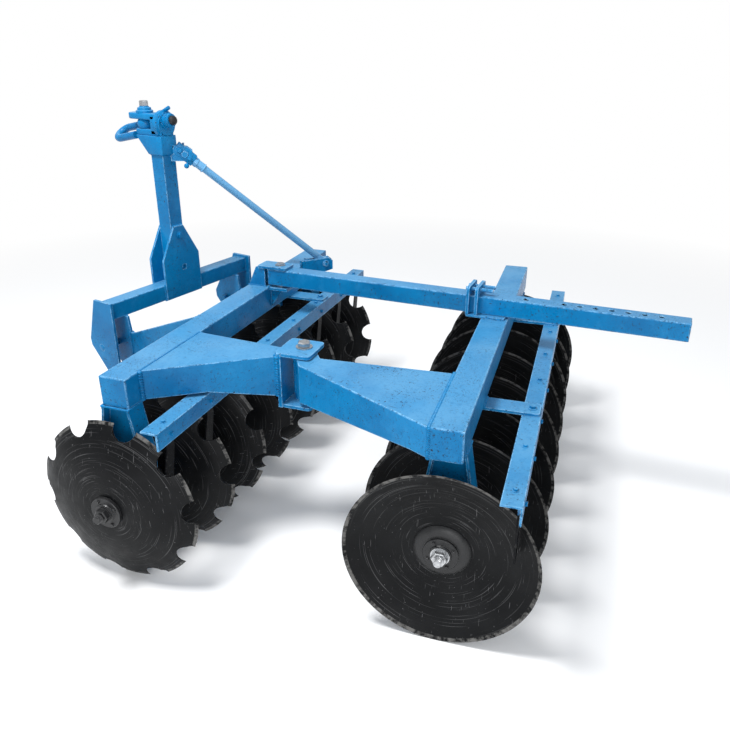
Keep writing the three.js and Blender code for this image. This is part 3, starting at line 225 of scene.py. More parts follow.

# %% [markdown]
# ## Finishes
# A finish is built from a few layers, as on the real machine: a coat, its slow changes of tone,
# chips that show what lies under it, scratches, and wear where edges rub. Painted light is laid over
# them too: a painted highlight along the edges and a painted reflection of the sky on level faces.
# Each layer is a mask between 0 and 1, made from noise on Object coordinates, which are metres here,
# so a noise scale of 90 makes spots of about a centimetre.


# %% Building blocks for masks
class Finish:
    """One procedural material: a Principled shader and short calls that add nodes before it."""

    def __init__(self, name, rough, metal=0.0, specular=0.5):
        self.material = bpy.data.materials.new(name)
        self.material.use_nodes = True
        self.tree = self.material.node_tree
        self.shader = self.tree.nodes["Principled BSDF"]
        set_values(self.shader, Roughness=rough, Metallic=metal, Specular_IOR_Level=specular)
        self.object_place = self.node("ShaderNodeTexCoord").outputs["Object"]

    def node(self, kind, **settings):
        made = self.tree.nodes.new(kind)
        for key, value in settings.items():
            setattr(made, key, value)
        return made

    def feed(self, socket, value):
        if isinstance(value, bpy.types.NodeSocket):
            self.tree.links.new(value, socket)
        else:
            socket.default_value = value

    def look(self, colour, rough, normal):
        """Feeds the shader and hands over the material."""
        self.feed(self.shader.inputs["Base Color"], colour)
        self.feed(self.shader.inputs["Roughness"], rough)
        self.feed(self.shader.inputs["Normal"], normal)
        return self.material

    def split(self, vector):
        parts = self.node("ShaderNodeSeparateXYZ")
        self.feed(parts.inputs[0], vector)
        return parts.outputs

    def combine(self, **axes):
        whole = self.node("ShaderNodeCombineXYZ")
        for axis, value in axes.items():
            self.feed(whole.inputs[axis], value)
        return whole.outputs[0]

    def vector(self, operation, first, output):
        calc = self.node("ShaderNodeVectorMath", operation=operation)
        self.feed(calc.inputs[0], first)
        return calc.outputs[output]

    def stretched(self, place, scale, turn=(0, 0, 0)):
        mapping = self.node("ShaderNodeMapping")
        set_values(mapping, Scale=scale, Rotation=turn)
        self.feed(mapping.inputs["Vector"], place)
        return mapping.outputs["Vector"]

    def noise(self, scale, detail=3.0, place=None, rough=0.55):
        texture = self.node("ShaderNodeTexNoise")
        set_values(texture, Scale=scale, Detail=detail, Roughness=rough)
        self.feed(texture.inputs["Vector"], self.object_place if place is None else place)
        return texture.outputs["Fac"]

    def step(self, value, start, end, low=0.0, high=1.0):
        ramp = self.node("ShaderNodeMapRange")
        set_values(ramp, From_Min=start, From_Max=end, To_Min=low, To_Max=high)
        self.feed(ramp.inputs["Value"], value)
        return ramp.outputs["Result"]

    def math(self, operation, first, second=0.5):
        calc = self.node("ShaderNodeMath", operation=operation, use_clamp=True)
        self.feed(calc.inputs[0], first)
        self.feed(calc.inputs[1], second)
        return calc.outputs["Value"]

    def times(self, first, second):
        return self.math("MULTIPLY", first, second)

    def edges(self, radius, start, end):
        """A mask of the convex and concave edges within a radius, from the bevelled normal."""
        rounded = self.node("ShaderNodeBevel", samples=4)
        rounded.inputs["Radius"].default_value = radius
        flat = self.node("ShaderNodeNewGeometry")
        same = self.node("ShaderNodeVectorMath", operation="DOT_PRODUCT")
        self.feed(same.inputs[0], rounded.outputs["Normal"])
        self.feed(same.inputs[1], flat.outputs["Normal"])
        return self.step(same.outputs["Value"], start, end)

    def tint(self, under, over, mask):
        mix = self.node("ShaderNodeMix", data_type="RGBA")
        self.feed(mix.inputs["Factor"], mask)
        for socket, colour in (("A", under), ("B", over)):
            solid = not isinstance(colour, bpy.types.NodeSocket)
            self.feed(mix.inputs[socket], (*colour, 1) if solid else colour)
        return mix.outputs["Result"]

    def bump(self, height, distance, under=None):
        relief = self.node("ShaderNodeBump")
        relief.inputs["Distance"].default_value = distance
        self.feed(relief.inputs["Height"], height)
        if under is not None:
            self.feed(relief.inputs["Normal"], under)
        return relief.outputs["Normal"]


# %% [markdown]
# ### Blue enamel
# Farm enamel is sprayed on thick over steel. It is glossy, its tone drifts a little from plate to
# plate, and stones knock small dark chips out of it, most of them in clusters and along edges. The
# level faces are painted paler, a painted reflection of the bright sky, so the mask `level` reads how
# far a face's normal points up. The edges are painted paler still, a painted highlight. A thin clear
# coat on the shader gives the gloss. The brace rod was painted later and has fewer chips, and its
# whole coat is painted paler, a painted highlight. The scraper blades are left black.

# %% Blue enamel
BLUE = (0.001, 0.205, 0.470)
BLUE_PALE = (0.040, 0.30, 0.60)
BLUE_DEEP = (0.001, 0.130, 0.330)
# Painted reflection of the sky, laid on faces that point up
BLUE_SKY_SHEEN = (0.085, 0.285, 0.500)
# Painted highlight, laid along edges and over the fresh rod
BLUE_HIGHLIGHT = (0.33, 0.62, 0.86)
CHIP_STEEL = (0.018, 0.020, 0.026)
BLADE_BLACK = (0.003, 0.0035, 0.0045)
BLADE_BRIGHT = (0.030, 0.030, 0.031)
PAINT_SHINE = 0.17
SCRAPER_BAR_FOOT = 0.561


def enamel(name, edge_wear_and_highlight=True, bare_below=None, fresh_with_highlight=False):
    """Blue enamel. If fresh, it has fewer chips and its whole coat is painted paler, a painted highlight. With
    edge_wear_and_highlight, its edges get chips and a painted highlight. It is black below bare_below, in metres.
    """
    paint = Finish(name, rough=0.36, specular=0.5 if fresh_with_highlight else PAINT_SHINE)
    drift = paint.step(paint.noise(3.5, 4), 0.35, 0.65)
    coat = paint.tint(BLUE_DEEP, BLUE, drift)
    chalk = paint.step(paint.noise(22, 6, rough=0.6), 0.50, 0.80, 0.0, 0.30)
    coat = paint.tint(coat, BLUE_PALE, chalk)
    mottle = paint.step(paint.noise(75, 5, rough=0.7), 0.50, 0.72, 0.0, 0.45)
    facing = paint.split(paint.node("ShaderNodeNewGeometry").outputs["Normal"])
    # Painted reflection of the sky: faces that point up are painted paler, a little unevenly
    level = paint.step(facing["Z"], 0.72, 0.98)
    sky_sheen = paint.times(level, paint.step(paint.noise(5, 5), 0.30, 0.62, 0.35, 0.85))
    coat = paint.tint(coat, BLUE_SKY_SHEEN, sky_sheen)
    coat = paint.tint(coat, BLUE_DEEP, mottle)
    if edge_wear_and_highlight:
        # Painted highlight: the edges are painted paler, patchily; the same edge mask places real chips further
        # down
        edge_mask = paint.edges(0.006, 0.992, 0.91)
        edge_highlight = paint.times(edge_mask, paint.step(paint.noise(38, 4), 0.36, 0.58, 0.15, 1))
        coat = paint.tint(coat, BLUE_HIGHLIGHT, paint.times(edge_highlight, 0.80))
    # Painted highlight: a fresh coat is painted paler all over
    if fresh_with_highlight:
        coat = paint.tint(coat, BLUE_HIGHLIGHT, 0.36)
    crowd = paint.step(paint.noise(6, 3), 0.36, 0.60, 0.0, 0.35 if fresh_with_highlight else 1.0)
    spots = paint.step(paint.noise(125, 3, rough=0.7), 0.612, 0.645)
    specks = paint.step(paint.noise(330, 2, rough=0.6), 0.645, 0.675)
    lost = paint.times(paint.math("MAXIMUM", spots, specks), crowd)
    along = paint.stretched(paint.object_place, (16, 210, 210), (0.2, 0.5, 0.35))
    across = paint.stretched(paint.object_place, (190, 13, 190), (0.4, 0.1, -0.5))
    for place, limit in ((along, 0.735), (across, 0.725)):
        scratch = paint.step(paint.noise(1.0, 2, place=place), limit, limit + 0.025)
        lost = paint.math("MAXIMUM", lost, scratch)
    if edge_wear_and_highlight:
        bitten = paint.times(edge_mask, paint.step(paint.noise(85, 4), 0.575, 0.61))
        lost = paint.math("MAXIMUM", lost, bitten)
    colour = paint.tint(coat, CHIP_STEEL, lost)
    if bare_below:
        height = paint.split(paint.object_place)["Z"]
        blade = paint.step(height, bare_below, bare_below - 0.004)
        bright = paint.step(paint.noise(60, 4), 0.60, 0.66, 0.0, 0.6)
        steel = paint.tint(BLADE_BLACK, BLADE_BRIGHT, bright)
        colour = paint.tint(colour, steel, blade)
        paint.feed(paint.shader.inputs["Specular IOR Level"], paint.step(blade, 0, 1, PAINT_SHINE, 0.04))
    gloss = paint.step(paint.noise(16, 4), 0.3, 0.7, 0.27, 0.42)
    rough = paint.math("MAXIMUM", gloss, paint.times(lost, 0.62))
    relief = paint.bump(paint.noise(210, 2), 0.00025)
    if edge_wear_and_highlight:
        relief = paint.bump(paint.noise(9, 2), 0.0016, under=relief)
    deep = paint.bump(paint.math("SUBTRACT", 1.0, lost), 0.0005, under=relief)
    set_values(paint.shader, Coat_Weight=0.08, Coat_Roughness=0.16)
    return paint.look(colour, rough, deep)


blue_enamel = enamel("blue_enamel")
round_enamel = enamel("blue_enamel_round", edge_wear_and_highlight=False)
# The rod's enamel is painted paler all over, a painted highlight, and has fewer chips
rod_enamel = enamel("blue_enamel_rod", edge_wear_and_highlight=False, fresh_with_highlight=True)
scraper_finish = enamel("blue_bar_black_blades", bare_below=SCRAPER_BAR_FOOT)
print("made four blue enamels, such as", blue_enamel.name)

# %% [markdown]
# ### Black disc steel
# The discs are dipped in thin black paint. Handling leaves fine pale scratches in every direction,
# and the lathe leaves faint rings. The rings and the worn rim follow the disc, so the finish reads
# an attribute, `dish`, that holds each point's place in its own disc: along the axle, then across.

# %% Black disc steel
BLACK = (0.0022, 0.0026, 0.0032)
BLACK_DUST = (0.0075, 0.0080, 0.0088)
SCRATCH_GREY = (0.20, 0.20, 0.205)
BARE_STEEL = (0.24, 0.235, 0.225)
RINGS_PER_METRE = 420


def disc_finish(name, radius):
    steel = Finish(name, rough=0.5, metal=0.0, specular=0.13)
    place = steel.node("ShaderNodeAttribute", attribute_name="dish").outputs["Vector"]
    axes = steel.split(place)
    flat = steel.combine(Y=axes["Y"], Z=axes["Z"])
    reach = steel.vector("LENGTH", flat, "Value")
    spread = steel.split(steel.vector("NORMALIZE", flat, "Vector"))
    far = steel.node("ShaderNodeMath", operation="MULTIPLY")
    far.inputs[1].default_value = RINGS_PER_METRE
    steel.feed(far.inputs[0], reach)
    around = steel.combine(X=far.outputs[0], Y=spread["Y"], Z=spread["Z"])
    rings = steel.noise(1.0, 1, place=around)
    arcs = steel.step(rings, 0.655, 0.70)
    cloud = steel.step(steel.noise(6, 4, place=place), 0.40, 0.72)
    colour = steel.tint(BLACK, BLACK_DUST, cloud)
    colour = steel.tint(colour, SCRATCH_GREY, steel.times(arcs, 0.26))
    marks = None
    for turn, limit in ((0.3, 0.735), (1.25, 0.73), (2.2, 0.74), (2.8, 0.745)):
        streaks = steel.stretched(place, (60, 300, 9), (turn, 0, 0))
        line = steel.step(steel.noise(1.0, 2, place=streaks), limit, limit + 0.03)
        marks = line if marks is None else steel.math("MAXIMUM", marks, line)
    flecks = steel.step(steel.noise(160, 2, place=place), 0.72, 0.75)
    marks = steel.math("MAXIMUM", marks, flecks)
    colour = steel.tint(colour, SCRATCH_GREY, steel.times(marks, 0.62))
    rim = steel.step(reach, radius - 0.0034, radius - 0.0012)
    ragged = steel.step(steel.noise(55, 4, place=place), 0.38, 0.60)
    rim = steel.times(rim, ragged)
    corner = steel.times(steel.edges(0.002, 0.95, 0.75), ragged)
    rim = steel.math("MAXIMUM", rim, steel.times(corner, 0.8))
    colour = steel.tint(colour, BARE_STEEL, steel.times(rim, 0.62))
    satin = steel.step(steel.noise(22, 4, place=place), 0.3, 0.7, 0.36, 0.54)
    lathe = steel.bump(rings, 0.00035)
    pits = steel.bump(steel.noise(130, 4, place=place), 0.0003, under=lathe)
    return steel.look(colour, satin, pits)


disc_radius = axle_height
black_steel = disc_finish("black_disc_steel", disc_radius)
print("made", black_steel.name)

# %% [markdown]
# ### Small metals
# The hinge bolt, the bar's pin, the top bolt and the rear gang's nut are zinc plated: a pale,
# slightly streaky metal. Spools, end washers and bearings are black iron, rough from the mould.


# %% Zinc and cast iron
def plated(name, colour, dull, rough):
    zinc = Finish(name, rough=rough, metal=1.0)
    cloud = zinc.step(zinc.noise(120, 4), 0.35, 0.7)
    face = zinc.tint(colour, dull, cloud)
    grime = zinc.step(zinc.noise(260, 3), 0.60, 0.70, 0.0, 0.7)
    face = zinc.tint(face, (0.07, 0.065, 0.06), grime)
    satin = zinc.step(cloud, 0, 1, rough, rough + 0.18)
    return zinc.look(face, satin, zinc.bump(zinc.noise(500, 3), 0.00012))


def cast(name, colour, pale):
    iron = Finish(name, rough=0.5, metal=0.25)
    cloud = iron.step(iron.noise(40, 5), 0.4, 0.75)
    edge_mask = iron.edges(0.002, 0.97, 0.80)
    face = iron.tint(colour, pale, iron.times(cloud, 0.5))
    face = iron.tint(face, (0.16, 0.16, 0.165), iron.times(edge_mask, 0.45))
    satin = iron.step(cloud, 0, 1, 0.36, 0.58)
    return iron.look(face, satin, iron.bump(iron.noise(320, 3), 0.00025))


bright_zinc = plated("bright_zinc", (0.58, 0.59, 0.60), (0.36, 0.37, 0.38), 0.26)
black_iron = cast("black_iron", (0.012, 0.0125, 0.0135), (0.035, 0.035, 0.036))
print("made", bright_zinc.name, "and", black_iron.name)

# %% [markdown]
# ## Finishing the frame
# A CAD node keeps its shape. Rolled and pressed steel has no razor edges, though, and it is the
# rounded edge that catches the light, so each node gets two live modifiers: Weld joins its loose
# triangles and Bevel rounds every sharp edge by a millimetre or two.

# %% Give every node its finish and its rounded edges
FINISHES = {
    "blue_paint": blue_enamel,
    "zinc_steel": bright_zinc,
    "black_disc": black_steel,
    "dark_iron": black_iron,
}
CREASE = 0.6  # radians, past which an edge counts as sharp
BEAM_ROUND = 0.004
PLATE_ROUND = 0.0015
ROUNDED_LIKE_TUBE = ("beam", "arm", "crossbar", "bar", "mast")


def round_edges(piece, width):
    weld = piece.modifiers.new("weld", "WELD")
    weld.merge_threshold = 0.00001
    bevel = piece.modifiers.new("rounded_edges", "BEVEL")
    bevel.width = width
    bevel.segments = 2
    bevel.limit_method = "ANGLE"
    bevel.angle_limit = CREASE
    bevel.harden_normals = False


for part in frame["record"]["subparts"]:
    node = nodes[part["node"]]
    node.material_slots[0].material = FINISHES[part["material_slot"]]
    tube = part["node"].split("_")[-1] in ROUNDED_LIKE_TUBE
    forged = part["node"] == "mast_head"
    round_edges(node, BEAM_ROUND if tube or forged else PLATE_ROUND)
for line in ("front", "rear"):
    nodes[f"{line}_scraper_bar"].material_slots[0].material = scraper_finish
print("finished", len(nodes), "nodes")

# %% [markdown]
# ## Modelling tools
# Most loose hardware on a harrow is round and comes off a lathe or out of a forge: spools, washers,
# nuts and pins. `turned` works like a lathe. It starts from one round or six-sided face and grows
# it along Z, one step of the profile at a time. Each finished piece is carried into place by a
# matrix, so its object stays at the origin.

# %% Measuring the frame in millimetres
MM = 0.001
UP = Matrix()
FLIP_X = Matrix.Rotation(math.pi, 4, "Z")
ALONG_X = Matrix.Rotation(math.pi / 2, 4, "Y")
ALONG_Y = Matrix.Rotation(-math.pi / 2, 4, "X")


def mm(x, y, z):
    return Vector((x, y, z)) * MM


def span(name, matrix, where=lambda place: True):
    """Low and high corner in millimetres of a CAD node, in the frame the matrix carries from."""
    back = matrix.inverted() @ nodes[name].matrix_world
    places = [back @ vertex.co / MM for vertex in nodes[name].data.vertices]
    places = [place for place in places if where(place)]
    low = Vector([min(place[i] for place in places) for i in range(3)])
    high = Vector([max(place[i] for place in places) for i in range(3)])
    return low, high


def at(x, y, z, *turns):
    """A place in millimetres, with the turns applied first."""
    matrix = Matrix.Translation(mm(x, y, z))
    for turn in turns:
        matrix = matrix @ turn
    return matrix


print("front strap", [[round(v) for v in corner] for corner in span("front_scraper_strap_left", FRONT)])


# %% The lathe
def select(*pieces):
    """Selects these pieces and nothing else, and makes the first one active."""
    bpy.ops.object.select_all(action="DESELECT")
    for piece in pieces:
        piece.select_set(True)
    bpy.context.view_layer.objects.active = pieces[0]


def edit(piece, select_first="DESELECT"):
    select(piece)
    bpy.ops.object.mode_set(mode="EDIT")
    bpy.ops.mesh.select_all(action=select_first)


def pick(piece, test):
    """Leaves the piece in edit mode with the vertices selected that pass the test."""
    edit(piece)
    bpy.ops.mesh.select_mode(type="VERT")
    bpy.ops.object.mode_set(mode="OBJECT")
    for vertex in piece.data.vertices:
        vertex.select = test(vertex.co)
    bpy.ops.object.mode_set(mode="EDIT")


def close_edit(smooth=None):
    bpy.ops.mesh.select_all(action="SELECT")
    bpy.ops.mesh.remove_doubles(threshold=0.00001)
    bpy.ops.mesh.normals_make_consistent(inside=False)
    bpy.ops.object.mode_set(mode="OBJECT")
    if smooth:
        bpy.ops.object.shade_smooth_by_angle(angle=smooth)


def turned(name, profile, sides=32, smooth=CREASE):
    """A closed solid about Z. The profile lists (height, radius) in millimetres."""
    height, radius = profile[0]
    bpy.ops.mesh.primitive_circle_add(
        vertices=sides, radius=radius * MM, fill_type="NGON", location=(0, 0, height * MM)
    )
    piece = bpy.context.object
    piece.name = name
    bpy.ops.object.transform_apply(location=True)
    edit(piece, "SELECT")
    for next_height, next_radius in profile[1:]:
        rise = (next_height - height) * MM
        bpy.ops.mesh.extrude_region_move(TRANSFORM_OT_translate={"value": (0, 0, rise)})
        grow = next_radius / radius
        middle_of_cap = (0, 0, next_height * MM)
        bpy.ops.transform.resize(value=(grow, grow, 1), center_override=middle_of_cap)
        height, radius = next_height, next_radius
    close_edit(smooth)
    return piece


def hexed(name, profile):
    """A nut or a bolt head: six sides, flat faces."""
    return turned(name, profile, 6, smooth=None)


def moved(pieces, matrix):
    for piece in pieces:
        piece.data.transform(matrix)
    return pieces


def copied(source, matrix):
    twin = source.copy()
    twin.data = source.data.copy()
    scene.collection.objects.link(twin)
    twin.data.transform(matrix)
    return twin


def joined(name, pieces, finish, body, replaced=()):
    """Pieces made one object that has a finish and rides on a body of the frame."""
    select(*pieces)
    if len(pieces) > 1:
        bpy.ops.object.join()
    whole = pieces[0]
    whole.name = name
    whole.data.materials.clear()
    whole.data.materials.append(finish)
    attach(whole, body)
    if replaced:
        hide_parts(*replaced)
    bpy.ops.object.select_all(action="DESELECT")
    return whole


def apply_modifiers(piece):
    select(piece)
    for modifier in list(piece.modifiers):
        bpy.ops.object.modifier_apply(modifier=modifier.name)


def discard(*pieces):
    for piece in pieces:
        bpy.data.objects.remove(piece)


# %% [markdown]
# ## Discs
# A harrow disc is a shallow bowl pressed from 6 mm boron steel, 610 mm across, with a square hole
# for the axle. The front row's discs are notched to bite into stubble, and the rear row's are plain
# to level what the front has cut. The bowl grows outward ring by ring from its flat centre, and the
# convex side of the rim is drawn inward to a ground cutting edge.

# %% Model one plain and one notched disc
DISC_THICK = 6
DISC_DISH = 60
DISC_FLAT = 70
DISC_GRIND = 13  # width of the ground edge
DISC_RINGS = 9
NOTCHES = 10
NOTCH_RADIUS = 42
NOTCH_PHASE = -5  # degrees between the notches and the square hole
rim_radius = disc_radius / MM


def notch_cutter(number):
    angle = (number + 0.5) * 2 * math.pi / NOTCHES - math.pi / 2
    reach = (rim_radius - 4) * MM
    bpy.ops.mesh.primitive_cylinder_add(
        vertices=32,
        radius=NOTCH_RADIUS * MM,
        depth=0.3,
        location=(reach * math.sin(-angle), reach * math.cos(angle), 0),
    )
    return bpy.context.object


def dished_disc(name, notched):
    bpy.ops.mesh.primitive_circle_add(vertices=90, radius=DISC_FLAT * MM, fill_type="NGON")
    disc = bpy.context.object
    disc.name = name
    edit(disc, "SELECT")
    bpy.ops.mesh.select_mode(type="EDGE")
    radius, depth = DISC_FLAT, 0.0
    for ring in range(1, DISC_RINGS + 1):
        share = ring / DISC_RINGS
        next_radius = DISC_FLAT + (rim_radius - DISC_FLAT) * share
        next_depth = DISC_DISH * share**2
        bpy.ops.mesh.extrude_edges_move(
            TRANSFORM_OT_translate={"value": (0, 0, (next_depth - depth) * MM)}
        )
        grow = next_radius / radius
        bpy.ops.transform.resize(value=(grow, grow, 1), center_override=(0, 0, 0))
        radius, depth = next_radius, next_depth
    close_edit()
    wall = disc.modifiers.new("wall", "SOLIDIFY")
    wall.thickness = DISC_THICK * MM
    wall.offset = 0
    apply_modifiers(disc)
    disc.data.transform(at(0, 0, DISC_THICK / 2))
    low = DISC_DISH + DISC_THICK / 2
    edge_reach = (rim_radius - 4) * MM
    pick(disc, lambda p: math.hypot(p.x, p.y) > edge_reach and p.z < low * MM)
    grow = (rim_radius - DISC_GRIND) / rim_radius
    bpy.ops.transform.resize(value=(grow, grow, 1), center_override=(0, 0, 0))
    close_edit()
    if notched:
        cutters = [notch_cutter(number) for number in range(NOTCHES)]
        for cutter in cutters:
            bite = disc.modifiers.new("notch", "BOOLEAN")
            bite.object = cutter
            bite.solver = "EXACT"
        apply_modifiers(disc)
        discard(*cutters)
    edit(disc, "SELECT")
    close_edit(smooth=0.5)
    disc.data.transform(ALONG_X)
    places = disc.data.attributes.new("dish", "FLOAT_VECTOR", "POINT")
    places.data.foreach_set("vector", [c for vertex in disc.data.vertices for c in vertex.co])
    return disc


plain_disc = dished_disc("plain_disc", notched=False)
notched_disc = dished_disc("notched_disc", notched=True)
print("plain disc", len(plain_disc.data.polygons), "faces, notched", len(notched_disc.data.polygons))

# %% [markdown]
# The hollow sides of the two rows face each other's way: the front row throws soil to one side and
# the rear row brings it back. The axle is square, so a disc can only sit on it turned by quarters.

# %% Set sixteen discs on their axles
random.seed(7)
AXLE_Z = axle_height / MM
QUARTERS = (0, 90, 180, 270)
disc_low = {}
disc_high = {}
for line, matrix, model, facing in (
    ("front", FRONT, notched_disc, -1),
    ("rear", REAR, plain_disc, 1),
):
    for number in range(1, 9):
        node_name = f"{line}_disc_{number}"
        low, high = span(node_name, matrix)
        centre = low.x if facing > 0 else high.x
        quarter = 0 if number == 1 else random.choice(QUARTERS)
        phase = NOTCH_PHASE if line == "front" else 0
        roll = Matrix.Rotation(math.radians(quarter + phase), 4, "X")
        about = Matrix.Rotation(0 if facing > 0 else math.pi, 4, "Z")
        disc = copied(model, matrix @ at(centre, 0, AXLE_Z, about, roll))
        joined(f"{line}_disc_blade_{number}", [disc], black_steel, f"{line}_gang",
               (node_name,))
        disc_low[line, number] = min(centre, centre + facing * DISC_THICK)
        disc_high[line, number] = max(centre, centre + facing * DISC_THICK)
discard(plain_disc, notched_disc)
print("discs at", [round(disc_low["rear", n]) for n in range(1, 9)], "mm along the rear beam")

# %% [markdown]
# ## Gang axles
# Spools space the discs on the square axle. A spool is an iron casting with a flange at each end,
# and the two beside the bearings have a thicker, machined neck. A domed boss fills the hollow of
# the end disc. A heavy washer and a nut on the axle's end draw the whole stack tight. The rear
# row's near nut is new and zinc plated.

# %% Square axle, spools, end washers and nuts
SHAFT_SQUARE = 34
SPOOL_NECK = 33
BEARING_NECK = 46
DISC_GAP = 0.3  # between a disc and what clamps it
BOSS_PROUD = 12  # how far the boss lifts the end washer off the hollow disc


def spool(length, neck):
    ends = [(0, 56), (2, 58), (10, 58), (13, 55), (22, max(neck + 3, 38)), (32, neck)]
    profile = ends + [(length - height, radius) for height, radius in reversed(ends)]
    return turned("spool", profile, 36)


def end_washer():
    profile = [(0, 54), (1, 56), (11, 56), (13, 54), (13, 36), (17, 34)]
    plate = turned("end_washer", profile, 48)
    head = hexed("washer_bolt", [(12, 6.5), (17, 6.5), (18.5, 5.4)])
    heads = [
        copied(head, Matrix.Rotation(turn, 4, "Z") @ at(45, 0, 0))
        for turn in (0.5, 2.07, 3.64, 5.21)
    ]
    discard(head)
    return [plate, *heads]


def end_nut():
    nut = hexed("end_nut", [(16, 23), (18, 26), (36, 26), (39, 23)])
    collar = turned("nut_collar", [(16, 30), (19, 30)], 36)
    thread = [(30, 13.5)]
    for turn in range(12):
        thread += [(38 + turn * 1.4, 14), (38.7 + turn * 1.4, 12.6)]
    stud = turned("end_stud", [*thread, (56, 13.6), (58, 11.5)], 24)
    return [nut, collar, stud]


for line, matrix in (("front", FRONT), ("rear", REAR)):
    axle = matrix @ at(0, 0, AXLE_Z)
    left = disc_high[line, 1] + DISC_GAP
    right = disc_low[line, 8] - DISC_GAP
    bpy.ops.mesh.primitive_cube_add(size=MM, location=(0, 0, 0))
    shaft = bpy.context.object
    edit(shaft, "SELECT")
    size = (left - right + 2, SHAFT_SQUARE, SHAFT_SQUARE)
    bpy.ops.transform.resize(value=size, center_override=(0, 0, 0))
    bpy.ops.object.mode_set(mode="OBJECT")
    parts = moved([shaft], at((left + right) / 2, 0, 0))
    for number in range(1, 8):
        from_x = disc_high[line, number + 1] + DISC_GAP
        to_x = disc_low[line, number] - DISC_GAP
        neck = BEARING_NECK if number in (1, 7) else SPOOL_NECK
        parts += moved([spool(to_x - from_x, neck)], at(from_x, 0, 0, ALONG_X))
    hollow_x, hollow_side = (left, UP) if line == "rear" else (right, FLIP_X)
    boss = turned("hub_boss", [(-2, 90), (2, 90), (8, 85), (13, 74), (15, 62)], 56)
    parts += moved([boss], at(hollow_x, 0, 0, hollow_side, ALONG_X))
    for x, side in ((left, UP), (right, FLIP_X)):
        proud = BOSS_PROUD if x == hollow_x else 0
        end = at(x, 0, 0, side, at(proud, 0, 0), ALONG_X)
        parts += moved(end_washer(), end)
        nut = moved(end_nut(), end)
        if line == "rear" and x == left:
            joined("rear_gang_nut", moved(nut, axle), bright_zinc, "rear_gang")
        else:
            parts += nut
    joined(f"{line}_gang_spools", moved(parts, axle), black_iron, f"{line}_gang",
           (f"{line}_gang_axle",))
print("axles from", round(right), "to", round(left), "mm on the rear beam")

# %% [markdown]
# ## Bolts
# One hexagon bolt with its washer is modelled, and every other is a copy of it. The hexagon's top
# corners are chamfered, as a forged head's are. Bolts hold the straps and the scraper arms to the
# angle bars and close the bearing housings.

# %% One bolt, many copies
model_head = hexed("bolt_head", [(2, 9.2), (8.6, 10.4), (9.8, 9.2)])
model_washer = turned("bolt_washer", [(0, 13.5), (1.6, 13.5), (2.1, 12.6)], 24)
model_end = turned("bolt_end", [(9, 5), (14, 5), (15, 4)], 16)
SCRAPER_SET = 98  # bolt from its disc's hollow side
HOUSING_BOLT_Y = 54  # from the axle, like the next one
HOUSING_BOLT_Z = (-46, 40)
DOWN = Matrix.Rotation(math.pi, 4, "X")


def bolt(matrix, size=1.0, end=False):
    """Copies of the model bolt whose washer lies on the matrix's XY plane."""
    scale = Matrix.Scale(size, 4)
    spin = Matrix.Rotation(random.uniform(0, 1), 4, "Z")
    sources = [model_washer, model_head] + ([model_end] if end else [])
    return [copied(source, matrix @ spin @ scale) for source in sources]


def bearing_bolts(matrix, hanger):
    low, high = span(hanger, matrix)
    made = []
    for x, side in ((high.x, ALONG_X), (low.x, FLIP_X @ ALONG_X)):
        for y in (-HOUSING_BOLT_Y, HOUSING_BOLT_Y):
            for z in HOUSING_BOLT_Z:
                made += bolt(matrix @ at(x, y, AXLE_Z + z, side), 0.85)
    return made


def bearing_covers(matrix, hanger):
    low, high = span(hanger, matrix)
    made = []
    for x in (low.x, high.x):
        bpy.ops.mesh.primitive_torus_add(
            major_radius=0.0545, minor_radius=0.0072, major_segments=40, minor_segments=8
        )
        cover = bpy.context.object
        bpy.ops.object.shade_smooth_by_angle(angle=0.7)
        flatten = Matrix.Scale(0.6, 4, (0, 0, 1))
        made += moved([cover], matrix @ at(x, 0, AXLE_Z, ALONG_X, flatten))
    return made


for line, matrix, body, facing in (
    ("front", FRONT, "front_frame", -1),
    ("rear", REAR, "rear_frame", 1),
):
    heads = []
    covers = []
    bar_low, bar_high = span(f"{line}_scraper_bar", matrix)
    for side in ("left", "right"):
        low, high = span(f"{line}_scraper_strap_{side}", matrix)
        across = (low.x + high.x) / 2
        heads += bolt(matrix @ at(across, high.y - 26, high.z, UP), 1.15)
        heads += bolt(matrix @ at(across, high.y - 32, low.z - 6.5, DOWN), 1.0, end=True)
        heads += bearing_bolts(matrix, f"{line}_hanger_{side}")
        covers += bearing_covers(matrix, f"{line}_hanger_{side}")
    for number in range(1, 9):
        centre = disc_low[line, number] if facing > 0 else disc_high[line, number]
        across = centre + facing * SCRAPER_SET
        heads += bolt(matrix @ at(across, bar_low.y + 32, bar_high.z, UP), 0.75)
        heads += bolt(matrix @ at(across, bar_high.y, bar_high.z - 36, ALONG_Y), 0.7)
    joined(f"{line}_bolts", heads, round_enamel, body)
    joined(f"{line}_bearing_covers", covers, black_iron, body)
print("bolts in place")

# %% [markdown]
# ## Pins
# The big hinge bolt, the adjusting bar's pin and the top link bolt are bare zinc. The two lower
# link pins and the bolt through the foot of the mast were painted over with the frame. Each is a
# turned stem with six-sided heads, and every height comes from the pin's node in the frame. The
# right link pin mirrors the left one. A negative scale turns a mesh inside out, so that pin has its
# normals recalculated.

# %% The hinge bolt and the bar's pin
def pin(name, node, place, stem, *heads, sides=32, finish=bright_zinc, slot="zinc_steel"):
    parts = [turned(name, stem, sides)] + [hexed("pin_head", profile) for profile in heads]
    return joined(name, moved(parts, place), finish, "front_frame", (node,))


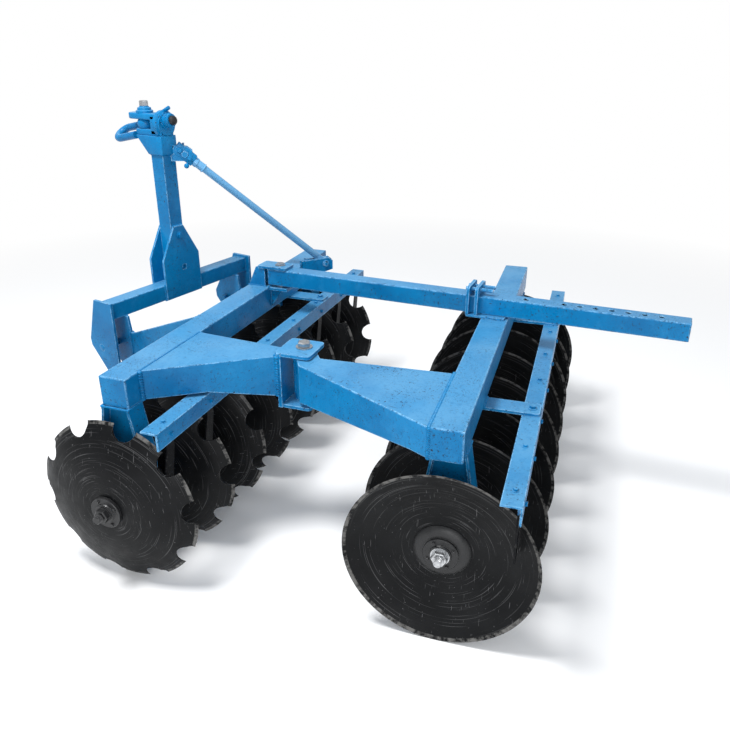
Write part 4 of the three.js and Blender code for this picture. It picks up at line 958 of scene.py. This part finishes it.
low, high = span("pivot_pin", UP)
fork_foot, fork_top = [corner.z for corner in span("pivot_fork", UP)]
pin(
    "hinge_bolt",
    "pivot_pin",
    Matrix.Translation((pivot.x, pivot.y, 0)),
    [(low.z, 13), (low.z + 3, 15.5), (fork_top, 15.5), (fork_top + 0.2, 29), (fork_top + 4, 29),
     (fork_top + 4.5, 27)],
    [(fork_top + 4, 21), (fork_top + 6, 23), (high.z - 4, 23), (high.z, 19)],
    [(fork_foot - 22, 20), (fork_foot - 20, 22.5), (fork_foot - 2, 22.5), (fork_foot - 0.3, 21)],
)
low, high = span("bar_pin", UP)
on_beam = beam_top / MM
pin(
    "adjusting_bar_pin",
    "bar_pin",
    Matrix.Translation((bar_pin.x, bar_pin.y, 0)),
    [(low.z, 10), (low.z + 3, 12), (on_beam + 0.5, 12), (on_beam + 0.6, 20), (on_beam + 7.5, 20),
     (on_beam + 7.6, 12), (high.z - 10, 12), (high.z - 9.7, 22), (high.z - 7, 22)],
    [(high.z - 8, 17), (high.z - 7, 18.5), (high.z - 1.5, 18.5), (high.z, 16)],
    [(low.z + 1, 16), (low.z + 2, 17.5), (low.z + 11, 17.5), (low.z + 12, 16)],
)

# %% Link pins, the top link bolt and the mast's cross bolt
low, high = span("link_pin_left", HITCH)
inner, outer = low.x, high.x
pin_y, pin_z = (low.y + high.y) / 2, (low.z + high.z) / 2
for side, mirror in (("left", UP), ("right", Matrix.Scale(-1, 4, (1, 0, 0)))):
    link_pin = pin(
        f"lower_link_pin_{side}",
        f"link_pin_{side}",
        HITCH @ mirror @ at(0, pin_y, pin_z, ALONG_X),
        [(inner, 12), (inner + 2, 14), (outer - 10, 14), (outer - 9, 12)],
        [(inner - 14, 19), (inner - 12, 21), (inner + 2, 21), (inner + 6, 19)],
        sides=28,
        finish=round_enamel,
        slot="blue_paint",
    )
    if side == "right":
        edit(link_pin, "SELECT")
        close_edit()
low, high = span("top_link_bolt", HITCH)
bolt_x, bolt_y = (low.x + high.x) / 2, (low.y + high.y) / 2
pin(
    "top_bolt",
    "top_link_bolt",
    HITCH @ at(bolt_x, bolt_y, 0),
    [(low.z, 10), (low.z + 2, 12), (high.z - 20, 12)],
    [(high.z - 22, 17), (high.z - 20, 18.5), (high.z - 3, 18.5), (high.z, 15.5)],
    sides=24,
)
low, high = span("mast_bolt", HITCH)
mast_x, mast_z = (low.x + high.x) / 2, (low.z + high.z) / 2
rod = turned("mast_rod", [(low.y + 10, 11), (high.y - 10, 11)], 24)
mast_parts = moved([rod], HITCH @ at(mast_x, 0, mast_z, ALONG_Y))
for y, side in ((high.y - 12, ALONG_Y), (low.y + 12, FLIP_X @ ALONG_Y)):
    mast_parts += bolt(HITCH @ at(mast_x, y, mast_z, side), 1.2)
joined("mast_cross_bolt", mast_parts, round_enamel, "front_frame", ("mast_bolt",))
print("pins in place")

# %% [markdown]
# ## Mast head
# The head of the mast takes the tractor's top link between two thick forged lugs on a cap that is
# slipped over the mast's square tube. Each lug starts as a block, its front corners are rounded with
# a wide bevel, and a smaller bevel breaks all its edges, as on a forging. A barrel on the top bolt
# keeps the lugs apart. Behind them a round bush with a dark plug carries a locking lever.


# %% Forged blocks of the mast head
def forging(name, low, high, round_corner=None, edge=3.0):
    """A block between two corners in millimetres. Its front upright corners can be rounded."""
    size = Vector(high) - Vector(low)
    bpy.ops.mesh.primitive_cube_add(size=1)
    block = bpy.context.object
    block.name = name
    block.data.transform(Matrix.Diagonal((*(size * MM), 1)))
    block.data.transform(Matrix.Translation((Vector(low) + Vector(high)) / 2 * MM))
    if round_corner:
        front = low[1] * MM + 0.0001
        edit(block)
        bpy.ops.mesh.select_mode(type="EDGE")
        bpy.ops.object.mode_set(mode="OBJECT")
        for side in block.data.edges:
            ends = [block.data.vertices[v].co for v in side.vertices]
            upright = abs(ends[0].z - ends[1].z) > 0.001
            side.select = upright and all(p.y < front for p in ends)
        bpy.ops.object.mode_set(mode="EDIT")
        bpy.ops.mesh.bevel(offset=round_corner * MM, segments=8, affect="EDGES")
        bpy.ops.object.mode_set(mode="OBJECT")
    soften = block.modifiers.new("soften", "BEVEL")
    soften.width = edge * MM
    soften.segments = 3
    soften.limit_method = "ANGLE"
    soften.angle_limit = CREASE
    apply_modifiers(block)
    bpy.ops.object.shade_smooth_by_angle(angle=CREASE)
    return block


head_low, head_high = span("mast_head", HITCH)
bush_x = (head_low.x + head_high.x) / 2
LUG_HALF = 36
LUG_THICK = 25
LUG_BACK = 40
LOWER_LUG_FRONT = -122
WEB_FRONT = -22
LOWER_LUG = 1345  # underside of each lug
UPPER_LUG = 1408
CAP_HALF = 43
x_low, x_high = bush_x - LUG_HALF, bush_x + LUG_HALF
cap_low, cap_high = bush_x - CAP_HALF, bush_x + CAP_HALF
upper = forging(
    "upper_lug", (x_low, head_low.y, UPPER_LUG), (x_high, LUG_BACK, UPPER_LUG + LUG_THICK), 34, 5
)
lower_end = (x_high, LUG_BACK, LOWER_LUG + LUG_THICK)
lower = forging("lower_lug", (x_low, LOWER_LUG_FRONT, LOWER_LUG), lower_end, 22, 5)
web_end = (x_high, LUG_BACK, UPPER_LUG + 20)
web = forging("head_web", (x_low, WEB_FRONT, LOWER_LUG + 2), web_end, None, 6)
cap = forging("head_cap", (cap_low, -CAP_HALF, head_low.z), (cap_high, CAP_HALF, LOWER_LUG + 1))
pick(cap, lambda p: p.y < -0.03 and p.z > (LOWER_LUG - 9) * MM)
bpy.ops.transform.translate(value=(0, -0.062, 0))
close_edit(smooth=CREASE)
lever = turned("lock_lever", [(0, 7), (1.5, 8), (66, 8), (68, 6)], 20)
lever.data.transform(at(bush_x - 6, -2, UPPER_LUG + 22, Matrix.Rotation(-1.13, 4, "X")))
head_parts = moved([upper, lower, web, cap, lever], HITCH)
joined("mast_head_forging", head_parts, round_enamel, "front_frame", ("mast_head",))
print("mast head from", round(head_low.z), "to", round(head_high.z), "mm above the ground")

# %% Collars, bush and plug behind the head
bush_z = 1401
bush_tilt = Matrix.Rotation(0.12, 4, "X")
bush = turned(
    "mast_bush",
    [(38, 33), (39, 35), (46, 35), (47, 28), (58, 27.4), (59, 30), (65, 30), (66, 27), (74, 26.5),
     (76, 24)],
    40,
)
bush.data.transform(HITCH @ at(bush_x, 0, bush_z, bush_tilt, ALONG_Y))
joined("mast_head_bush", [bush], round_enamel, "front_frame")
plug = turned("bush_plug", [(72, 19), (82, 19), (89, 17), (93, 12), (94, 7)], 32)
plug.data.transform(HITCH @ at(bush_x, 0, bush_z - 1, bush_tilt, ALONG_Y))
joined("mast_head_plug", [plug], black_iron, "front_frame")
layers = [(1432, 34), (1434, 36), (1441, 36), (1443, 33), (1444, 29), (1452, 28.5), (1454, 26)]
stack = turned("lug_layers", [*layers, (1454.5, 21), (1457, 20.5), (1458.5, 19)], 40)
barrel = turned(
    "lug_barrel",
    [(1369, 26), (1373, 27), (1374, 31), (1382, 34), (1390, 35), (1398, 34), (1405, 31), (1409, 27)],
    36,
)
moved((stack, barrel), HITCH @ at(bolt_x, bolt_y, 0))
collar = turned("head_collar", [(14, 52), (16, 56), (32, 56), (35, 53), (38, 46), (43, 45)], 48)
collar.data.transform(HITCH @ at(bush_x, 0, 1392, ALONG_Y))
ring_parts = [stack, barrel, collar]
joined("top_link_washers", ring_parts, round_enamel, "front_frame")
print("top bolt", round(bolt_y), "mm from the hitch bar's middle, negative to the front")

# %% [markdown]
# The towing eye is one round bar bent into a U. It is modelled as half of a ring whose two open
# ends are drawn out straight and closed.

# %% Towing eye
eye_low, eye_high = span("towing_eye", HITCH)
EYE_BAR = 16
EYE_BEND = 37
EYE_LEG = 103  # up to the lower lug
EYE_ROLL = math.radians(32)
EYE_OVERLAP = 47  # of the legs beyond the lug's old front face
EYE_DROOP = math.radians(11)
bpy.ops.mesh.primitive_torus_add(
    major_radius=EYE_BEND * MM, minor_radius=EYE_BAR * MM, major_segments=48, minor_segments=20
)
eye = bpy.context.object
pick(eye, lambda p: p.y > 0.0001)
bpy.ops.mesh.delete(type="VERT")
bpy.ops.mesh.select_mode(type="EDGE")
bpy.ops.mesh.select_all(action="DESELECT")
bpy.ops.mesh.select_non_manifold()
bpy.ops.mesh.extrude_edges_move(TRANSFORM_OT_translate={"value": (0, (EYE_LEG - 2) * MM, 0)})
bpy.ops.mesh.select_all(action="SELECT")
bpy.ops.mesh.fill_holes(sides=0)
close_edit(smooth=CREASE)
eye_middle = (eye_low.x + eye_high.x) / 2
eye_top = (eye_high.z - EYE_BAR) + 1
droop = Matrix.Rotation(EYE_DROOP, 4, "X")
roll = Matrix.Rotation(EYE_ROLL, 4, "Y")
root = at(eye_middle, eye_high.y, eye_top, droop, roll, at(0, EYE_OVERLAP - EYE_LEG, 0))
eye.data.transform(HITCH @ root)
joined("towing_eye_bar", [eye], round_enamel, "front_frame", ("towing_eye",))
print("eye", [round(v) for v in eye_low], [round(v) for v in eye_high])

# %% [markdown]
# ## Brace
# A round rod props the mast from the front beam. Each end is flattened to a tongue with an eye,
# and a collar near the top lets the rod screw in and out. It is turned as one bar and then its
# tongues, modelled from bevelled blocks, are set on its ends.

# %% Brace rod between the two clevises
UPPER_BOLT = HITCH @ mm(-56, 62, 1268)
LOWER_BOLT = FRONT @ mm(-590, 140, 745)
run = LOWER_BOLT - UPPER_BOLT
length = run.length / MM
turn_plan = Matrix.Rotation(math.atan2(run.y, run.x), 4, "Z")
turn_fall = Matrix.Rotation(math.asin(-run.z / run.length), 4, "Y")
brace_matrix = Matrix.Translation(UPPER_BOLT) @ turn_plan @ turn_fall
rod_profile = [
    (46, 12), (48, 20), (50, 21), (64, 21), (66, 18.5), (94, 18.5), (96, 21), (99, 21), (101, 17),
    (104, 16), (length - 60, 16), (length - 52, 12),
]
brace_parts = moved([turned("brace_rod", rod_profile, 28)], ALONG_X)
TONGUE = (62, 16, 30)  # length, thickness and height of a flattened end
for x, inward in ((0, 1), (length, -1)):
    bpy.ops.mesh.primitive_cylinder_add(vertices=32, radius=0.024, depth=0.016)
    ring = bpy.context.object
    ring.data.transform(at(x, 0, 0, ALONG_Y))
    bpy.ops.mesh.primitive_cube_add(size=MM)
    shank = bpy.context.object
    shank.data.transform(Matrix.Diagonal((*TONGUE, 1)))
    shank.data.transform(at(x + inward * TONGUE[0] / 2, 0, 0))
    join_up = ring.modifiers.new("shank", "BOOLEAN")
    join_up.operation = "UNION"
    join_up.object = shank
    soften = ring.modifiers.new("soften", "BEVEL")
    soften.width = 0.0018
    soften.segments = 2
    apply_modifiers(ring)
    discard(shank)
    brace_parts.append(ring)
fork_parts = []
for y in (-15, 15):
    fork = forging("brace_fork", (-46, y - 5, -25), (48, y + 5, 25), None, 2)
    fork_parts += moved([fork], brace_matrix)
for x in (-26, 24):
    fork_parts += bolt(brace_matrix @ at(x, -20, 0, Matrix.Rotation(math.pi, 4, "X"), ALONG_Y), 1.0)
joined("brace_fork_plates", fork_parts, round_enamel, "front_frame")
moved(brace_parts, brace_matrix)
joined("mast_brace_rod", brace_parts, rod_enamel, "front_frame", ("mast_brace",))
print("brace", round(length), "mm between its bolts")

# %% Locking clip and ball on the brace's upper end
bpy.ops.mesh.primitive_uv_sphere_add(radius=0.011, segments=20, ring_count=12)
ball = bpy.context.object
bpy.ops.object.shade_smooth()
ball.data.transform(brace_matrix @ at(34, -26, -34))
chain = turned("clip_wire", [(0, 2.5), (46, 2.5)], 10)
chain.data.transform(brace_matrix @ at(20, -24, 4, Matrix.Rotation(2.8, 4, "Y")))
joined("brace_clip", [ball, chain], round_enamel, "front_frame")
print("clip and ball on the brace's upper end")

# %% [markdown]
# ## Weld beads
# The frame is arc welded, and the beads are left as they were laid: a row of small overlapping
# drops, like scales. One flattened drop is modelled, an Array modifier repeats it every 4.5 mm along
# each seam, and a little random movement makes the row look made by hand.

# %% One drop and the way it is laid along a seam
DROP_PITCH = 4.5
bpy.ops.mesh.primitive_uv_sphere_add(radius=0.001, segments=8, ring_count=4)
drop = bpy.context.object
edit(drop, "SELECT")
bpy.ops.transform.resize(value=(3.0, 5.4, 4.4), center_override=(0, 0, 0))
bpy.ops.object.mode_set(mode="OBJECT")
bpy.ops.object.shade_smooth()
print("one drop has", len(drop.data.polygons), "faces")


def seam(matrix, start, end, size=1.0):
    first = matrix @ mm(*start)
    last = matrix @ mm(*end)
    run = last - first
    count = max(2, round(run.length / (DROP_PITCH * MM * size)))
    direction = run.to_track_quat("X", "Z").to_matrix().to_4x4()
    bead = copied(drop, Matrix.Translation(first) @ direction @ Matrix.Scale(size, 4))
    row = bead.modifiers.new("row", "ARRAY")
    row.use_relative_offset = False
    row.use_constant_offset = True
    row.constant_offset_displace = run / (count - 1)
    row.count = count
    apply_modifiers(bead)
    return bead


def laid(name, seams, body):
    whole = joined(name, seams, round_enamel, body)
    edit(whole, "SELECT")
    bpy.ops.transform.vertex_random(offset=0.0007, uniform=0.3, seed=5)
    bpy.ops.object.mode_set(mode="OBJECT")
    bpy.ops.object.select_all(action="DESELECT")
    print(name, len(whole.data.polygons), "faces")
    return whole


def frame_of(low, high, z):
    """Four seams round a rectangle at one height."""
    corners = [(low.x, low.y, z), (high.x, low.y, z), (high.x, high.y, z), (low.x, high.y, z)]
    return list(zip(corners, corners[1:] + corners[:1]))


def seam_across(matrix, box, y, z, size=1.0):
    """A seam along X, from one side of a box to the other."""
    return seam(matrix, (box[0].x, y, z), (box[1].x, y, z), size)


def seams_beside(matrix, box, z, size=1.0):
    """Seams along Y on both sides of a box."""
    low, high = box
    return [seam(matrix, (x, low.y, z), (x, high.y, z), size) for x in (low.x, high.x)]


def seams_upright(matrix, box, y, bottom, top, size=1.0):
    """Seams up both sides of a box."""
    return [seam(matrix, (x, y, bottom), (x, y, top), size) for x in (box[0].x, box[1].x)]


TOP = beam_top / MM
BOTTOM = beam_bottom / MM
HALF = beam_half / MM


def row_seams(line, matrix):
    """Seams of the straps and the hangers under a beam."""
    made = []
    for side in ("left", "right"):
        made.append(seam_across(matrix, span(f"{line}_scraper_strap_{side}", matrix), HALF, BOTTOM))
        low, high = span(f"{line}_hanger_{side}", matrix, lambda p: p.z > BOTTOM - 4)
        made += [seam(matrix, *ends) for ends in frame_of(low, high, BOTTOM - 1)]
    return made

# %% Seams of the front frame
arm = span("front_arm", FRONT, lambda p: p.y < HALF + 2)
beads = [seam_across(FRONT, arm, HALF, TOP - 1.5), seam_across(FRONT, arm, HALF, BOTTOM)]
beads += seams_upright(FRONT, arm, HALF + 2, BOTTOM + 4, TOP - 4, 2.0)
low, high = tip = span("front_arm", FRONT, lambda p: p.y > pivot_in_front.y / MM - 72)
beads += seams_upright(FRONT, tip, high.y, low.z + 4, TOP - 4, 2.0)
plate_y = span("pivot_fork", FRONT, lambda p: p.z > TOP)[0].y
beads.append(seam(FRONT, (low.x, plate_y, TOP + 1), (high.x - 3, plate_y, TOP + 1), 1.1))
for x in (pivot_in_front.x / MM - 64, pivot_in_front.x / MM + 82):
    beads.append(seam(FRONT, (x, high.y + 15.5, TOP - 2), (x, high.y + 1, TOP - 2)))
beads += row_seams("front", FRONT)
ledge = span("bar_ledge", FRONT, lambda p: p.y < HALF + 2 and p.z > TOP - 30)
beads.append(seam_across(FRONT, ledge, HALF, TOP))
low, high = lugs = span("brace_lugs", FRONT, lambda p: p.y < HALF + 3)
beads += seams_upright(FRONT, lugs, HALF + 1, low.z, high.z, 1.1)
beads += seams_beside(BAR, span("bar_bracket", BAR, lambda p: p.z < TOP + 3), TOP, 1.1)
laid("front_frame_welds", beads, "front_frame")

# %% Seams of the hitch and the mast
GUSSET_SHOULDER = 79  # from a gusset's side to its narrow top
beads = []
bar_low, bar_high = span("hitch_crossbar", HITCH)
for name, x in (("right", bar_low.x), ("left", bar_high.x)):
    beads.append(seam(HITCH, (x, bar_low.y, bar_high.z), (x, bar_high.y, bar_high.z)))
    for y in (bar_low.y, bar_high.y):
        beads.append(seam(HITCH, (x, y, bar_low.z), (x, y, bar_high.z)))
    low, high = span(f"link_cheek_inner_{name}", HITCH, lambda p: p.z > bar_low.z - 3)
    for cheek_x in (low.x, high.x):
        beads.append(seam(HITCH, (cheek_x, low.y, bar_low.z), (cheek_x, bar_high.y, bar_low.z)))
    low, high = strut = span(f"hitch_strut_{name}", HITCH, lambda p: p.y < 60)
    beads += seams_upright(HITCH, strut, low.y, low.z, high.z)
    low, high = strut = span(f"hitch_strut_{name}", FRONT, lambda p: p.y > -HALF - 4)
    beads += seams_upright(FRONT, strut, -HALF, low.z, TOP - 4, 1.15)
for name, y in (("front", bar_low.y), ("rear", bar_high.y)):
    low, high = gusset = span(f"mast_gusset_{name}", HITCH)
    beads += seams_upright(HITCH, gusset, y, bar_low.z, bar_high.z, 1.1)
    crest = (low.x + GUSSET_SHOULDER, y, high.z), (high.x - GUSSET_SHOULDER, y, high.z)
    beads.append(seam(HITCH, *crest))
low, high = mast = span("mast", HITCH)
beads += [seam(HITCH, *ends) for ends in frame_of(low, high, bar_high.z + 1)]
cap_z = span("mast_head", HITCH, lambda p: p.z < high.z and p.y > -60)[0].z
beads += seams_beside(HITCH, mast, cap_z)
beads.append(seam_across(HITCH, mast, high.y, cap_z))
low, high = span("brace_clevis", HITCH, lambda p: p.y < 40)
beads.append(seam(HITCH, (low.x + 2, 36, low.z), (low.x + 2, 36, high.z)))
laid("hitch_welds", beads, "front_frame")

# %% Seams of the rear frame
arm = span("rear_arm", REAR, lambda p: p.y > -HALF - 2)
beads = [seam_across(REAR, arm, -HALF, TOP - 3, 1.3), seam_across(REAR, arm, -HALF, BOTTOM)]
beads += seams_upright(REAR, arm, -HALF, BOTTOM + 3, TOP - 6, 1.5)
sleeve_foot = span("pivot_sleeve", REAR)[0].z
for dx, dy in ((33, -20), (-4, 38)):
    x, y = pivot_in_rear.x / MM + dx, pivot_in_rear.y / MM + dy
    beads.append(seam(REAR, (x, y, sleeve_foot + 34), (x, y, TOP - 8), 1.9))
beads += row_seams("rear", REAR)
laid("rear_frame_welds", beads, "rear_frame")
discard(drop)

# %% Put the model bolt away
discard(model_head, model_washer, model_end)
